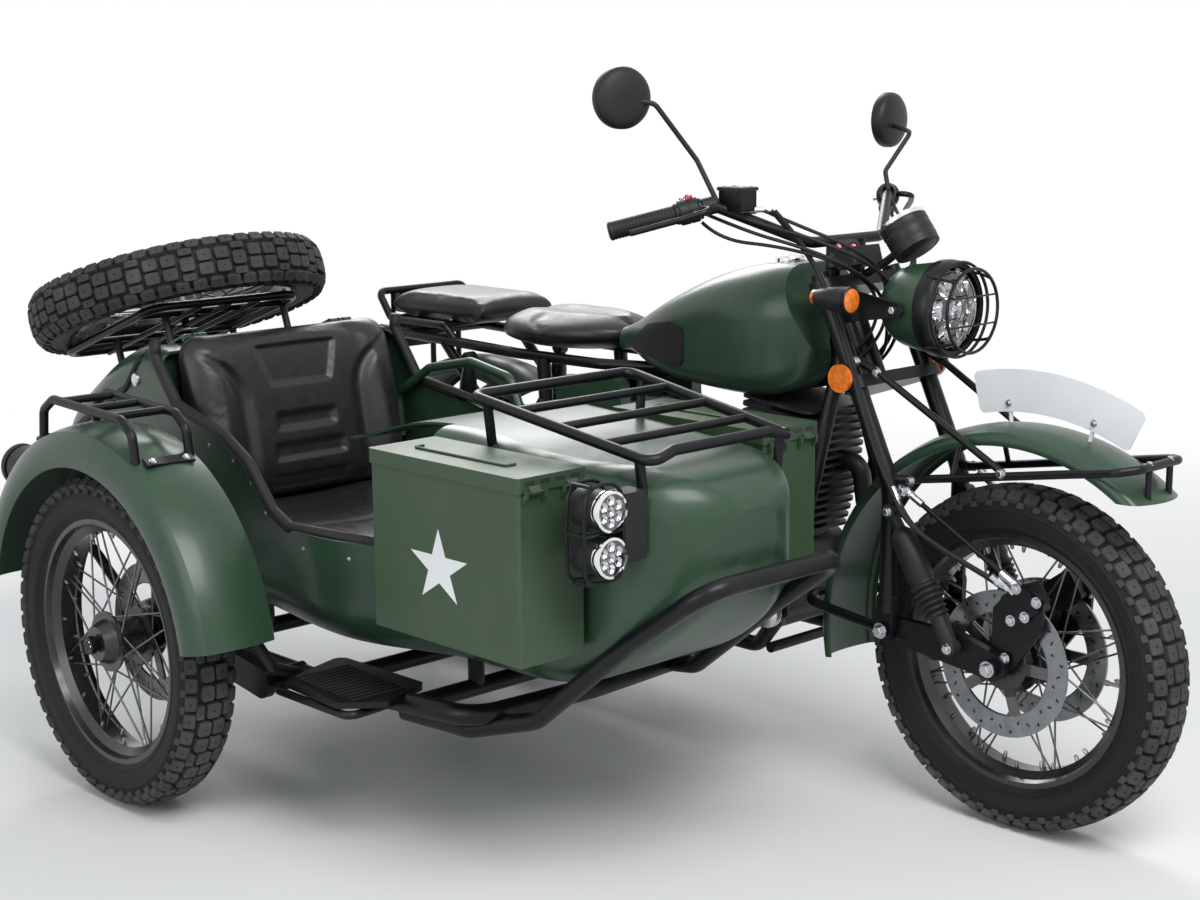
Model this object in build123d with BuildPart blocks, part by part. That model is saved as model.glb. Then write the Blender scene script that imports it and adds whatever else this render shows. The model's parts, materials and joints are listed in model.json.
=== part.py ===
"""Sidecar motorcycle: a one-cylinder motorcycle with a leading-link fork, and its sidecar on the right.

Millimetres. +X ahead, +Y to the left, +Z up, the ground at Z = 0. The origin is on the ground under
the middle of the whole outline. Stations are measured ahead of the front axle, so most are negative.
"""

import os
from math import atan2, cos, degrees, hypot, radians, sin, sqrt, tan

from build123d import *

os.makedirs("parts", exist_ok=True)

# Places of the three main planes and the wheels
FRONT_AXLE_X = 893
BIKE_Y = 370
SIDECAR_Y = -240
SIDECAR_WHEEL_Y = -770
WHEELBASE = 1550
SIDECAR_WHEEL_LEAD = 222

# Wheels
TYRE_RADIUS = 330
TYRE_HALF_WIDTH = 54
TREAD_HALF_WIDTH = 47
SHOULDER_DROP = 14
RIM_RADIUS = 244
RIM_HALF_WIDTH = 41
RIM_WELL_RADIUS = 216
RIM_WELL_HALF_WIDTH = 16
HUB_HALF_WIDTH = 60
HUB_BARREL_RADIUS = 34
HUB_FLANGE_RADIUS = 60
HUB_FLANGE_OFFSET = 34
HUB_FLANGE_THICKNESS = 5
AXLE_RADIUS = 10
AXLE_CLEARANCE = 1
SPOKES_PER_SIDE = 16
SPOKE_RADIUS = 2
SPOKE_LEAN = 48
DISC_RADIUS = 140
DISC_INNER_RADIUS = 104
DISC_OFFSET = 66
DISC_THICKNESS = 5
DISC_GAP = 6

# Steering
RAKE = 25
HEAD_X = -375
HEAD_Z = 830
HEAD_TUBE_RADIUS = 28
STEM_RADIUS = 17
STEM_CLEARANCE = 1
FORK_OFFSET = 45
FORK_SPREAD = 110
FORK_TUBE_RADIUS = 18
LINK_PIVOT = (-243, 357)
LINK_SHOCK_EYE = (-80, 356)
SHOCK_TOP = (-226, 596)
ARM_OFFSET = 84
ARM_THICKNESS = 18
YOKE_ROOM = 50

# Tubes of the frame and sidecar
FRAME_TUBE_RADIUS = 16
RAIL_SPREAD = 120
LOWER_RAIL_Z = 262
CHASSIS_TUBE_RADIUS = 20
RACK_TUBE_RADIUS = 10
BUMPER_TUBE_RADIUS = 17

# Sheet metal
HULL_WALL = 5
SHEET = 3
FENDER_RADIUS = 445
LID_GAP = 5
BOX_WALL = 3

# Side boxes
BOX_REAR = -712
BOX_LENGTH = 395
BOX_WIDTH = 148
BOX_FLOOR = 450
BOX_HEIGHT = 322
BOX_LID_HEIGHT = 26
BOX_LIP = 3
BOX_INSET = 226
BOX_PAD = 9
BOX_HINGE_SPREAD = 42
BOX_FRONT = BOX_REAR + BOX_LENGTH
BOX_HINGE_RADIUS = 4

# Trunk and spare wheel
TRUNK_HINGE = (-1562, 875)
HINGE_SPREAD = 190
HINGE_PIN_RADIUS = 3.5
LID_SLOPE = 19.5
SPARE_X = -1800
SPARE_SHIFT = -75
SPARE_HEIGHT = 935

REAR_AXLE_X = -WHEELBASE
SIDECAR_WHEEL_X = REAR_AXLE_X + SIDECAR_WHEEL_LEAD


def bike(x, y, z):
    """Point measured from the front axle and the motorcycle's middle plane."""
    return Vector(FRONT_AXLE_X + x, BIKE_Y + y, z)


def car(x, y, z):
    """Point measured from the front axle and the sidecar's middle plane."""
    return Vector(FRONT_AXLE_X + x, SIDECAR_Y + y, z)


def bike_mirror(points):
    """The same route on the other side of the motorcycle."""
    return [Vector(p.X, 2 * BIKE_Y - p.Y, p.Z) for p in points]


def side_plane(middle_y):
    """Upright plane along the vehicle; an offset moves it to the right."""
    return Plane(origin=(FRONT_AXLE_X, middle_y, 0), x_dir=(1, 0, 0), z_dir=(0, -1, 0))


def cross_plane(x, middle_y):
    """Upright plane across the vehicle; an offset moves it ahead."""
    return Plane(origin=(FRONT_AXLE_X + x, middle_y, 0), x_dir=(0, 1, 0), z_dir=(1, 0, 0))


BIKE_SIDE = side_plane(BIKE_Y)
CAR_SIDE = side_plane(SIDECAR_Y)
BIKE_TOP = Plane(origin=(FRONT_AXLE_X, BIKE_Y, 0))
CAR_TOP = Plane(origin=(FRONT_AXLE_X, SIDECAR_Y, 0))
STEER_AXIS = Vector(-sin(radians(RAKE)), 0, cos(radians(RAKE)))
STEER_PLANE = Plane(
    origin=bike(HEAD_X, 0, HEAD_Z), x_dir=(cos(radians(RAKE)), 0, sin(radians(RAKE))), z_dir=STEER_AXIS
)


def steer_point(ahead, side, up):
    """Point measured along and across the steering axis from the head tube's foot."""
    return STEER_PLANE.from_local_coords(Vector(ahead, side, up))


def tube(points, radius, bend=45, close=False):
    """Add a round tube along a bent route, open or closed, to the part being built."""
    with BuildLine() as route:
        if len(points) == 2:
            Line(*points)
        else:
            FilletPolyline(*points, radius=bend, close=close)
    with BuildSketch(route.line ^ 0) as ring:
        Circle(radius)
    sweep(sections=ring.sketch, path=route.line)


def rod(start, end, radius):
    """Add a straight round bar to the part being built."""
    run = Vector(*end) - Vector(*start)
    with BuildSketch(Plane(origin=start, z_dir=run)) as ring:
        Circle(radius)
    extrude(ring.sketch, amount=run.length)


def side_plate(plane, outline, thickness, corner=0):
    """Add a flat plate drawn in a plane to the part being built, its outline a list of corners."""
    with BuildSketch(plane) as plate:
        with BuildLine():
            Polyline(*outline, close=True)
        make_face()
        if corner:
            fillet(plate.vertices(), corner)
    extrude(plate.sketch, amount=thickness)


def section_loft(middle_y, sections, inset=0.0):
    """Body through upright cross-sections, each a box with rounded lower and upper corners.

    Columns of sections: station, half width, floor, top, lower corner radius, upper corner radius.
    """
    with BuildPart() as body:
        for station, half_width, floor, top, lower, upper in sections:
            with BuildSketch(cross_plane(station, middle_y)) as section:
                with Locations((0, (floor + top) / 2)):
                    Rectangle(2 * (half_width - inset), top - floor - 2 * inset)
                fillet(section.vertices().group_by(Axis.Y)[0], lower - inset)
                fillet(section.vertices().group_by(Axis.Y)[-1], upper - inset)
        loft()
    return body.part


def wheel_plane(x, middle_y):
    """Upright plane through a wheel's axle, with its origin at the wheel's centre."""
    return Plane(origin=(FRONT_AXLE_X + x, middle_y, TYRE_RADIUS), x_dir=(1, 0, 0), z_dir=(0, -1, 0))


# ---- Wheels ---------------------------------------------------------------------------------

with BuildPart() as tyre_form:
    with BuildSketch(Plane.YZ):
        with BuildLine():
            shoulder = TYRE_RADIUS - SHOULDER_DROP
            bulge = (RIM_RADIUS + shoulder) / 2
            ThreePointArc((-TREAD_HALF_WIDTH, shoulder), (0, TYRE_RADIUS), (TREAD_HALF_WIDTH, shoulder))
            ThreePointArc(
                (TREAD_HALF_WIDTH, shoulder), (TYRE_HALF_WIDTH, bulge), (RIM_HALF_WIDTH, RIM_RADIUS)
            )
            Line((RIM_HALF_WIDTH, RIM_RADIUS), (-RIM_HALF_WIDTH, RIM_RADIUS))
            ThreePointArc(
                (-RIM_HALF_WIDTH, RIM_RADIUS), (-TYRE_HALF_WIDTH, bulge), (-TREAD_HALF_WIDTH, shoulder)
            )
        make_face()
    revolve(axis=Axis.Y)

SPOKE_INNER_RADIUS = HUB_FLANGE_RADIUS - 6
SPOKE_SETS = [
    # side, lean along the rim in degrees, start angle in pitches, place on the flange
    (1, 1, 0.0, 1.5),
    (1, -1, 0.5, -1.5),
    (-1, 1, 0.25, 1.5),
    (-1, -1, 0.75, -1.5),
]

with BuildPart() as wheel_form:
    with BuildSketch(Plane.YZ):
        with BuildLine():
            Polyline(
                (-RIM_HALF_WIDTH, RIM_RADIUS),
                (-RIM_HALF_WIDTH, RIM_RADIUS - 10),
                (-RIM_HALF_WIDTH + 12, RIM_RADIUS - 14),
                (-RIM_WELL_HALF_WIDTH, RIM_WELL_RADIUS),
                (RIM_WELL_HALF_WIDTH, RIM_WELL_RADIUS),
                (RIM_HALF_WIDTH - 12, RIM_RADIUS - 14),
                (RIM_HALF_WIDTH, RIM_RADIUS - 10),
                (RIM_HALF_WIDTH, RIM_RADIUS),
                close=True,
            )
        make_face()
    revolve(axis=Axis.Y)
    with BuildSketch(Plane.YZ):
        with BuildLine():
            flange_in = HUB_FLANGE_OFFSET - HUB_FLANGE_THICKNESS / 2
            flange_out = HUB_FLANGE_OFFSET + HUB_FLANGE_THICKNESS / 2
            bore = AXLE_RADIUS + AXLE_CLEARANCE
            half_profile = [
                (0, HUB_BARREL_RADIUS),
                (flange_in, HUB_BARREL_RADIUS + 6),
                (flange_in, HUB_FLANGE_RADIUS),
                (flange_out, HUB_FLANGE_RADIUS),
                (flange_out, HUB_BARREL_RADIUS + 12),
                (HUB_HALF_WIDTH, HUB_BARREL_RADIUS),
                (HUB_HALF_WIDTH, bore),
            ]
            Polyline(*half_profile, *[(-y, r) for y, r in reversed(half_profile)])
        make_face()
    revolve(axis=Axis.Y)
    spoke_planes = []
    for spoke_side, lean, start, shift in SPOKE_SETS:
        for index in range(SPOKES_PER_SIDE // 2):
            hub_angle = radians((index + start / 2 + 0.25) * 720 / SPOKES_PER_SIDE)
            rim_angle = hub_angle + lean * radians(SPOKE_LEAN)
            foot = Vector(
                SPOKE_INNER_RADIUS * cos(hub_angle),
                spoke_side * (HUB_FLANGE_OFFSET + shift),
                SPOKE_INNER_RADIUS * sin(hub_angle),
            )
            tip = Vector(
                (RIM_WELL_RADIUS + 4) * cos(rim_angle), spoke_side * 6, (RIM_WELL_RADIUS + 4) * sin(rim_angle)
            )
            spoke_planes.append(Plane(origin=foot, z_dir=tip - foot))
            spoke_length = (tip - foot).length
    with BuildSketch(*spoke_planes):
        Circle(SPOKE_RADIUS)
    extrude(amount=spoke_length)

with BuildPart() as disc_form:
    with BuildSketch(Plane.XZ.offset(-DISC_THICKNESS / 2)):
        Circle(DISC_RADIUS)
        Circle(DISC_INNER_RADIUS - 6, mode=Mode.SUBTRACT)
    extrude(amount=DISC_THICKNESS)
    with BuildSketch(Plane.XZ.offset(-DISC_THICKNESS / 2)):
        Circle(HUB_BARREL_RADIUS + 16)
        with PolarLocations((DISC_INNER_RADIUS + HUB_BARREL_RADIUS) / 2, 5):
            Rectangle(DISC_INNER_RADIUS - HUB_BARREL_RADIUS, 22)
        Circle(bore, mode=Mode.SUBTRACT)
    extrude(amount=DISC_THICKNESS)

WHEELS = [
    # name, station, middle plane, sides with a brake disc
    ("front", 0, BIKE_Y, (-1, 1)),
    ("rear", REAR_AXLE_X, BIKE_Y, (-1,)),
    ("sidecar", SIDECAR_WHEEL_X, SIDECAR_WHEEL_Y, (1,)),
]
for wheel_name, station, middle_y, disc_sides in WHEELS:
    centre = Location((FRONT_AXLE_X + station, middle_y, TYRE_RADIUS))
    with BuildPart() as tyre:
        add(tyre_form.part.moved(centre))
    tyre.part.label = f"{wheel_name}_tyre"
    export_step(tyre.part, f"parts/{wheel_name}_tyre.step")
    with BuildPart() as wheel:
        add(wheel_form.part.moved(centre))
        for side in disc_sides:
            add(disc_form.part.moved(centre * Location((0, side * DISC_OFFSET, 0))))
            with BuildSketch(wheel_plane(station, middle_y).offset(-side * HUB_HALF_WIDTH)):
                Circle(HUB_BARREL_RADIUS)
                Circle(bore, mode=Mode.SUBTRACT)
            extrude(amount=-side * (DISC_OFFSET - HUB_HALF_WIDTH))
    wheel.part.label = f"{wheel_name}_wheel"
    export_step(wheel.part, f"parts/{wheel_name}_wheel.step")

SPARE_AT = (
    Location(car(SPARE_X, SPARE_SHIFT, SPARE_HEIGHT))
    * Location((0, 0, 0), (0, -LID_SLOPE, 0))
    * Location((0, 0, 0), (90, 0, 0))
)
with BuildPart() as spare_tyre:
    add(tyre_form.part.moved(SPARE_AT))
spare_tyre.part.label = "spare_tyre"
export_step(spare_tyre.part, "parts/spare_tyre.step")
with BuildPart() as spare_wheel:
    add(wheel_form.part.moved(SPARE_AT))
spare_wheel.part.label = "spare_wheel"
export_step(spare_wheel.part, "parts/spare_wheel.step")

# ---- Motorcycle frame -----------------------------------------------------------------------

PIVOT_X = -1190
PIVOT_Z = 400
HEAD_TUBE_FOOT = -8
HEAD_TUBE_TOP = 158
DOWN_TUBE_X = -440
SEAT_RAIL_Z = 800
LOWER_REAR_X = PIVOT_X + 10

with BuildPart() as main_frame:
    tube(
        [bike(-420, 0, 865), bike(-900, 0, 800), bike(-1060, 0, 740), bike(-1180, 0, 520), bike(PIVOT_X, 0, 410)],
        22,
        60,
    )
    for side in (-1, 1):
        rail = side * RAIL_SPREAD
        tube(
            [
                bike(DOWN_TUBE_X, side * 14, 866),
                bike(DOWN_TUBE_X + 4, rail * 0.8, 640),
                bike(DOWN_TUBE_X - 68, rail, 330),
                bike(DOWN_TUBE_X - 122, rail, LOWER_RAIL_Z),
                bike(LOWER_REAR_X, rail, LOWER_RAIL_Z),
                bike(LOWER_REAR_X, rail, PIVOT_Z),
                bike(PIVOT_X - 20, rail, SEAT_RAIL_Z - 8),
            ],
            FRAME_TUBE_RADIUS,
            40,
        )
        tube(
            [
                bike(-905, side * 18, 790),
                bike(-1040, rail * 0.9, SEAT_RAIL_Z - 5),
                bike(-1300, rail, SEAT_RAIL_Z - 5),
                bike(-1800, rail, SEAT_RAIL_Z + 8),
            ],
            12,
            60,
        )
        tube([bike(PIVOT_X, rail, 440), bike(-1560, rail, SEAT_RAIL_Z)], 12)
    for x, z in ((PIVOT_X, PIVOT_Z), (PIVOT_X + 4, LOWER_RAIL_Z + 40), (-1700, SEAT_RAIL_Z + 5), (-530, LOWER_RAIL_Z)):
        rod(bike(x, -RAIL_SPREAD, z), bike(x, RAIL_SPREAD, z), 11)
    with BuildSketch(STEER_PLANE.offset(HEAD_TUBE_FOOT)):
        Circle(HEAD_TUBE_RADIUS)
    extrude(amount=HEAD_TUBE_TOP - HEAD_TUBE_FOOT)
    with BuildSketch(STEER_PLANE.offset(HEAD_TUBE_FOOT - 60)):
        Circle(STEM_RADIUS + STEM_CLEARANCE)
    extrude(amount=HEAD_TUBE_TOP + 120, mode=Mode.SUBTRACT)
main_frame.part.label = "main_frame"
export_step(main_frame.part, "parts/main_frame.step")

# ---- Engine -----------------------------------------------------------------------------------

ENGINE_REAR = -1120
ENGINE_FRONT = -515
CYLINDER_X = -575
CYLINDER_LEAN = -6
CYLINDER_FOOT = 480
FIN_COUNT = 16
FIN_PITCH = 17
FIN_THICKNESS = 6

with BuildPart() as engine_crankcase:
    side_plate(
        BIKE_SIDE.offset(-92),
        [
            (ENGINE_FRONT, 330),
            (ENGINE_FRONT - 30, 290),
            (ENGINE_REAR + 60, 290),
            (ENGINE_REAR, 350),
            (ENGINE_REAR, 470),
            (-900, 545),
            (-680, 500),
            (ENGINE_FRONT, 480),
        ],
        184,
        22,
    )
    for side, x, z, radius in ((-1, -640, 395, 88), (-1, -850, 405, 98), (1, -640, 395, 92), (1, -880, 405, 76)):
        with BuildSketch(BIKE_SIDE.offset(-side * 92)):
            with Locations((x, z)):
                Circle(radius)
        extrude(amount=-side * 26, taper=18)
    rod(bike(-528, -RAIL_SPREAD, 326), bike(-528, RAIL_SPREAD, 326), 9)
    rod(bike(ENGINE_REAR + 70, 0, 304), bike(PIVOT_X + 4, 0, LOWER_RAIL_Z + 40), 12)
    add(main_frame.part, mode=Mode.SUBTRACT)
engine_crankcase.part.label = "engine_crankcase"
export_step(engine_crankcase.part, "parts/engine_crankcase.step")

cylinder_plane = Plane(
    origin=bike(CYLINDER_X, 0, CYLINDER_FOOT),
    x_dir=(cos(radians(CYLINDER_LEAN)), 0, sin(radians(CYLINDER_LEAN))),
    z_dir=(-sin(radians(CYLINDER_LEAN)), 0, cos(radians(CYLINDER_LEAN))),
)
with BuildPart() as engine_cylinder:
    with BuildSketch(cylinder_plane.offset(8)):
        Circle(66)
    extrude(amount=FIN_COUNT * FIN_PITCH + FIN_THICKNESS)
    for index in range(FIN_COUNT):
        grown = min(index, 6) * 3
        with BuildSketch(cylinder_plane.offset(26 + index * FIN_PITCH)):
            RectangleRounded(170 + grown, 168 + 2 * grown, 28)
        extrude(amount=FIN_THICKNESS)
    add(engine_crankcase.part, mode=Mode.SUBTRACT)
    add(main_frame.part, mode=Mode.SUBTRACT)
engine_cylinder.part.label = "engine_cylinder"
export_step(engine_cylinder.part, "parts/engine_cylinder.step")

# ---- Exhaust ----------------------------------------------------------------------------------

MUFFLER_Y = 205
with BuildPart() as exhaust_system:
    tube(
        [
            bike(-492, 38, 640),
            bike(-434, 42, 640),
            bike(-434, 60, 548),
            bike(-424, 118, 492),
            bike(-500, MUFFLER_Y - 10, 400),
            bike(-600, MUFFLER_Y, 285),
            bike(-800, MUFFLER_Y, 268),
            bike(-1130, MUFFLER_Y, 300),
        ],
        19,
        32,
    )
    muffler_plane = Plane(origin=bike(-1120, MUFFLER_Y, 300), z_dir=(-1, 0, 0.14))
    with BuildSketch(muffler_plane):
        Circle(24)
    with BuildSketch(muffler_plane.offset(70)):
        Circle(46)
    loft()
    with BuildSketch(muffler_plane.offset(70)):
        Circle(46)
    extrude(amount=420)
    fillet(exhaust_system.edges().filter_by(GeomType.CIRCLE).group_by(Axis.X)[0], 14)
    with BuildSketch(muffler_plane.offset(440)):
        Circle(18)
    extrude(amount=75)
    with BuildSketch(muffler_plane.offset(450)):
        Circle(14)
    extrude(amount=80, mode=Mode.SUBTRACT)
    add(engine_cylinder.part, mode=Mode.SUBTRACT)
exhaust_system.part.label = "exhaust_system"
export_step(exhaust_system.part, "parts/exhaust_system.step")

# ---- Rear suspension --------------------------------------------------------------------------

SWINGARM_SPREAD = 95
with BuildPart() as swingarms:
    for side in (-1, 1):
        with BuildSketch(BIKE_SIDE.offset(-side * SWINGARM_SPREAD)) as arm_sketch:
            with Locations((PIVOT_X, PIVOT_Z)):
                Circle(26)
            with Locations((REAR_AXLE_X, TYRE_RADIUS)):
                Circle(30)
            make_hull()
        extrude(amount=-side * 18)
    rod(
        bike(PIVOT_X, -SWINGARM_SPREAD - 10, PIVOT_Z), bike(PIVOT_X, SWINGARM_SPREAD + 10, PIVOT_Z), 24
    )
    rod(
        bike(REAR_AXLE_X, -SWINGARM_SPREAD - 36, TYRE_RADIUS),
        bike(REAR_AXLE_X, SWINGARM_SPREAD + 36, TYRE_RADIUS),
        AXLE_RADIUS,
    )
    add(main_frame.part, mode=Mode.SUBTRACT)
swingarms.part.label = "swingarms"

SHOCK_FOOT = (-1490, 356)
SHOCK_HEAD = (-1440, 770)
with BuildPart() as rear_shocks:
    for side in (-1, 1):
        shock_y = side * 142
        foot, head = bike(SHOCK_FOOT[0], shock_y, SHOCK_FOOT[1]), bike(SHOCK_HEAD[0], shock_y, SHOCK_HEAD[1])
        rod(foot, head, 9)
        spring_plane = Plane(origin=foot, z_dir=head - foot)
        with BuildSketch(spring_plane.offset(70)):
            Circle(28)
        extrude(amount=220)
        for eye_x, eye_z in (SHOCK_FOOT, SHOCK_HEAD):
            rod(bike(eye_x, side * 128, eye_z), bike(eye_x, side * 156, eye_z), 16)
        rod(
            bike(SHOCK_FOOT[0], side * (SWINGARM_SPREAD + 6), SHOCK_FOOT[1]),
            bike(SHOCK_FOOT[0], side * 156, SHOCK_FOOT[1]),
            8,
        )
    add(main_frame.part, mode=Mode.SUBTRACT)
    add(swingarms.part, mode=Mode.SUBTRACT)
rear_shocks.part.label = "rear_shocks"
export_step(rear_shocks.part, "parts/rear_shocks.step")


def fender_wedge(station, middle_y, shape, first, last, inset=0.0):
    """Ring sector about a wheel with the outer form of a mudguard, from one angle to another.

    shape: radius at the crown, radius at the shoulder, radius at the edge, half width.
    """
    crown_r, shoulder_r, edge_r, half_width = shape
    shoulder = (0.82 * half_width - 0.7 * inset, -shoulder_r + 0.8 * inset)
    flank = (0.965 * half_width - inset, -(0.7 * shoulder_r + 0.3 * edge_r) + 0.3 * inset)
    hem = (half_width - inset, -edge_r + (1 if inset else 0))
    plane = Plane(
        origin=(FRONT_AXLE_X + station, middle_y, TYRE_RADIUS),
        x_dir=(0, 1, 0),
        z_dir=(-sin(radians(first)), 0, cos(radians(first))),
    )
    with BuildPart() as wedge:
        with BuildSketch(plane) as profile:
            with BuildLine():
                ThreePointArc((-shoulder[0], shoulder[1]), (0, -crown_r + inset), shoulder)
                ThreePointArc(shoulder, flank, hem)
                Line(hem, (-hem[0], hem[1]))
                ThreePointArc((-hem[0], hem[1]), (-flank[0], flank[1]), (-shoulder[0], shoulder[1]))
            make_face()
        revolve(
            profile.sketch,
            axis=Axis((FRONT_AXLE_X + station, middle_y, TYRE_RADIUS), (0, -1, 0)),
            revolution_arc=last - first,
        )
    return wedge.part


def fender(station, middle_y, shape, first, last):
    """Sheet mudguard about a wheel."""
    outer = fender_wedge(station, middle_y, shape, first, last)
    inner = fender_wedge(station, middle_y, shape, first - 1, last + 1, SHEET)
    return outer - inner


with BuildPart() as rear_fender:
    add(fender(REAR_AXLE_X, BIKE_Y, (425, 412, 385, 80), 60, 172))
    for side in (-1, 1):
        rod(bike(-1700, side * 40, 724), bike(-1700, side * 40, SEAT_RAIL_Z), 7)
        rod(bike(-1440, side * 76, 702), bike(-1440, side * 112, 690), 7)
    add(main_frame.part, mode=Mode.SUBTRACT)
rear_fender.part.label = "rear_fender"
export_step(rear_fender.part, "parts/rear_fender.step")

# ---- Tank, seats and covers -------------------------------------------------------------------

TANK_SECTIONS = [
    # station, half width, floor, top, lower radius, upper radius
    (-1025, 62, 822, 872, 18, 24),
    (-930, 98, 812, 912, 26, 48),
    (-790, 132, 786, 982, 36, 82),
    (-640, 146, 778, 1032, 44, 104),
    (-540, 140, 782, 1042, 48, 108),
    (-480, 112, 806, 1030, 46, 92),
    (-452, 84, 850, 1002, 40, 66),
]
with BuildPart() as steering_room:
    with BuildSketch(STEER_PLANE.offset(-120)):
        with Locations((-YOKE_ROOM + 120, 0)):
            Rectangle(240, 500)
    extrude(amount=400)
tank_solid = section_loft(BIKE_Y, TANK_SECTIONS) - steering_room.part
with BuildPart() as fuel_tank:
    add(tank_solid)
    with BuildSketch(cross_plane(-1100, BIKE_Y)):
        with Locations((0, 790)):
            SlotOverall(240, 66, rotation=90)
    extrude(amount=760, mode=Mode.SUBTRACT)
fuel_tank.part.label = "fuel_tank"
export_step(fuel_tank.part, "parts/fuel_tank.step")

PAD_THICKNESS = 6
padded_tank = section_loft(
    BIKE_Y, [(s, w + PAD_THICKNESS, f - 4, t + 4, lo, up) for s, w, f, t, lo, up in TANK_SECTIONS]
)
with BuildPart() as knee_pads:
    for side in (-1, 1):
        with BuildSketch(BIKE_SIDE.offset(-side * 60)) as pad_outline:
            with BuildLine():
                Polyline((-985, 836), (-762, 822), (-762, 900), (-800, 912), (-880, 898), close=True)
            make_face()
            fillet(pad_outline.vertices(), 14)
        extrude(amount=-side * 120)
    add(padded_tank, mode=Mode.INTERSECT)
    add(tank_solid, mode=Mode.SUBTRACT)
knee_pads.part.label = "knee_pads"
export_step(knee_pads.part, "parts/knee_pads.step")

with BuildPart() as fuel_cap:
    with BuildSketch(Plane(origin=bike(-590, 0, 1020), z_dir=(0, 0, 1))):
        Circle(30)
    extrude(amount=34)
    fillet(fuel_cap.edges().group_by(Axis.Z)[-1], 8)
    add(tank_solid, mode=Mode.SUBTRACT)
fuel_cap.part.label = "fuel_cap"
export_step(fuel_cap.part, "parts/fuel_cap.step")

with BuildPart() as rider_seat:
    with BuildSketch(BIKE_TOP.offset(816)):
        with Locations((-1215, 0)):
            Ellipse(185, 128)
    extrude(amount=72)
    fillet(rider_seat.edges().group_by(Axis.Z)[-1], 30)
    for x in (-1270, -1160):
        for side in (-1, 1):
            rod(bike(x, side * 108, SEAT_RAIL_Z - 6), bike(x, side * 108, 820), 9)
    add(main_frame.part, mode=Mode.SUBTRACT)
rider_seat.part.label = "rider_seat"
export_step(rider_seat.part, "parts/rider_seat.step")

with BuildPart() as pillion_seat:
    with BuildSketch(BIKE_TOP.offset(846)):
        with Locations((-1592, 0)):
            RectangleRounded(335, 230, 40)
    extrude(amount=58)
    fillet(pillion_seat.edges().group_by(Axis.Z)[-1], 20)
pillion_seat.part.label = "pillion_seat"
export_step(pillion_seat.part, "parts/pillion_seat.step")

with BuildPart() as side_covers:
    for side in (-1, 1):
        side_plate(
            BIKE_SIDE.offset(-side * 96),
            [(-1010, 500), (-1165, 470), (-1165, 760), (-960, 772), (-950, 620)],
            -side * 30,
            24,
        )
    with BuildSketch(BIKE_TOP.offset(560)):
        with Locations((-1070, 0)):
            Rectangle(150, 194)
    extrude(amount=150)
    add(main_frame.part, mode=Mode.SUBTRACT)
side_covers.part.label = "side_covers"
export_step(side_covers.part, "parts/side_covers.step")

with BuildPart() as rear_rack:
    for side in (-1, 1):
        rail = side * 132
        tube(
            [
                bike(-1520, side * RAIL_SPREAD, 806),
                bike(-1540, rail, 838),
                bike(-1745, rail, 838),
                bike(-1792, rail, 900),
                bike(-1792, 0, 900),
            ],
            9,
            20,
        )
    for x in (-1560, -1680):
        rod(bike(x, -132, 838), bike(x, 132, 838), 8)
    with BuildSketch(cross_plane(-1797, BIKE_Y)):
        with Locations((0, 797)):
            Rectangle(184, 82)
        with Locations((-86, 866), (86, 866)):
            Rectangle(12, 62)
        with Locations((-60, 797), (60, 797)):
            Circle(3.5, mode=Mode.SUBTRACT)
    extrude(amount=3)
    add(main_frame.part, mode=Mode.SUBTRACT)
rear_rack.part.label = "rear_rack"
export_step(rear_rack.part, "parts/rear_rack.step")

PEG_Z = 322
with BuildPart() as foot_controls:
    for side in (-1, 1):
        side_plate(
            BIKE_SIDE.offset(-side * (RAIL_SPREAD + 12)),
            [(-990, 250), (-930, 250), (-940, 340), (-980, 340)],
            -side * 8,
            6,
        )
        rod(bike(-960, side * (RAIL_SPREAD + 14), PEG_Z), bike(-960, side * 265, PEG_Z), 11)
        rod(bike(-960, side * 190, PEG_Z), bike(-960, side * 262, PEG_Z), 15)
        side_plate(
            BIKE_SIDE.offset(-side * (RAIL_SPREAD + 7)),
            [(-1352, 600), (-1310, 560), (-1316, 404), (-1344, 404)],
            -side * 8,
            6,
        )
        rod(bike(-1330, side * (RAIL_SPREAD + 9), 420), bike(-1330, side * 235, 420), 10)
    rod(bike(-1330, 178, 416), bike(-1330, 196, 366), 7)
    add(main_frame.part, mode=Mode.SUBTRACT)
    add(swingarms.part, mode=Mode.SUBTRACT)
    add(exhaust_system.part, mode=Mode.SUBTRACT)
foot_controls.part.label = "foot_controls"
export_step(foot_controls.part, "parts/foot_controls.step")

# ---- Sidecar body -----------------------------------------------------------------------------

HULL_SECTIONS = [
    # station, half width, floor, top, lower radius, upper radius
    (-1985, 262, 540, 625, 36, 36),
    (-1930, 284, 478, 692, 70, 46),
    (-1800, 304, 428, 772, 92, 50),
    (-1560, 315, 392, 862, 96, 46),
    (-1400, 318, 378, 808, 98, 46),
    (-1100, 316, 350, 712, 98, 50),
    (-940, 304, 338, 752, 98, 54),
    (-745, 222, 332, 782, 94, 58),
    (-560, 219, 338, 774, 92, 60),
    (-390, 219, 362, 764, 88, 66),
    (-270, 200, 425, 762, 80, 76),
    (-195, 156, 492, 748, 62, 62),
    (-150, 98, 552, 722, 46, 46),
    (-132, 52, 598, 694, 30, 30),
]
hull_solid = section_loft(SIDECAR_Y, HULL_SECTIONS)
hull_cavity = section_loft(
    SIDECAR_Y,
    [(s, w, f, t, lo, up) for s, w, f, t, lo, up in HULL_SECTIONS if -1950 < s < -180],
    HULL_WALL,
)
BULKHEAD_X = -1545
SEAT_SHELF_Z = 430
COCKPIT_FRONT = -1095
COCKPIT_REAR = -1520
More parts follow.
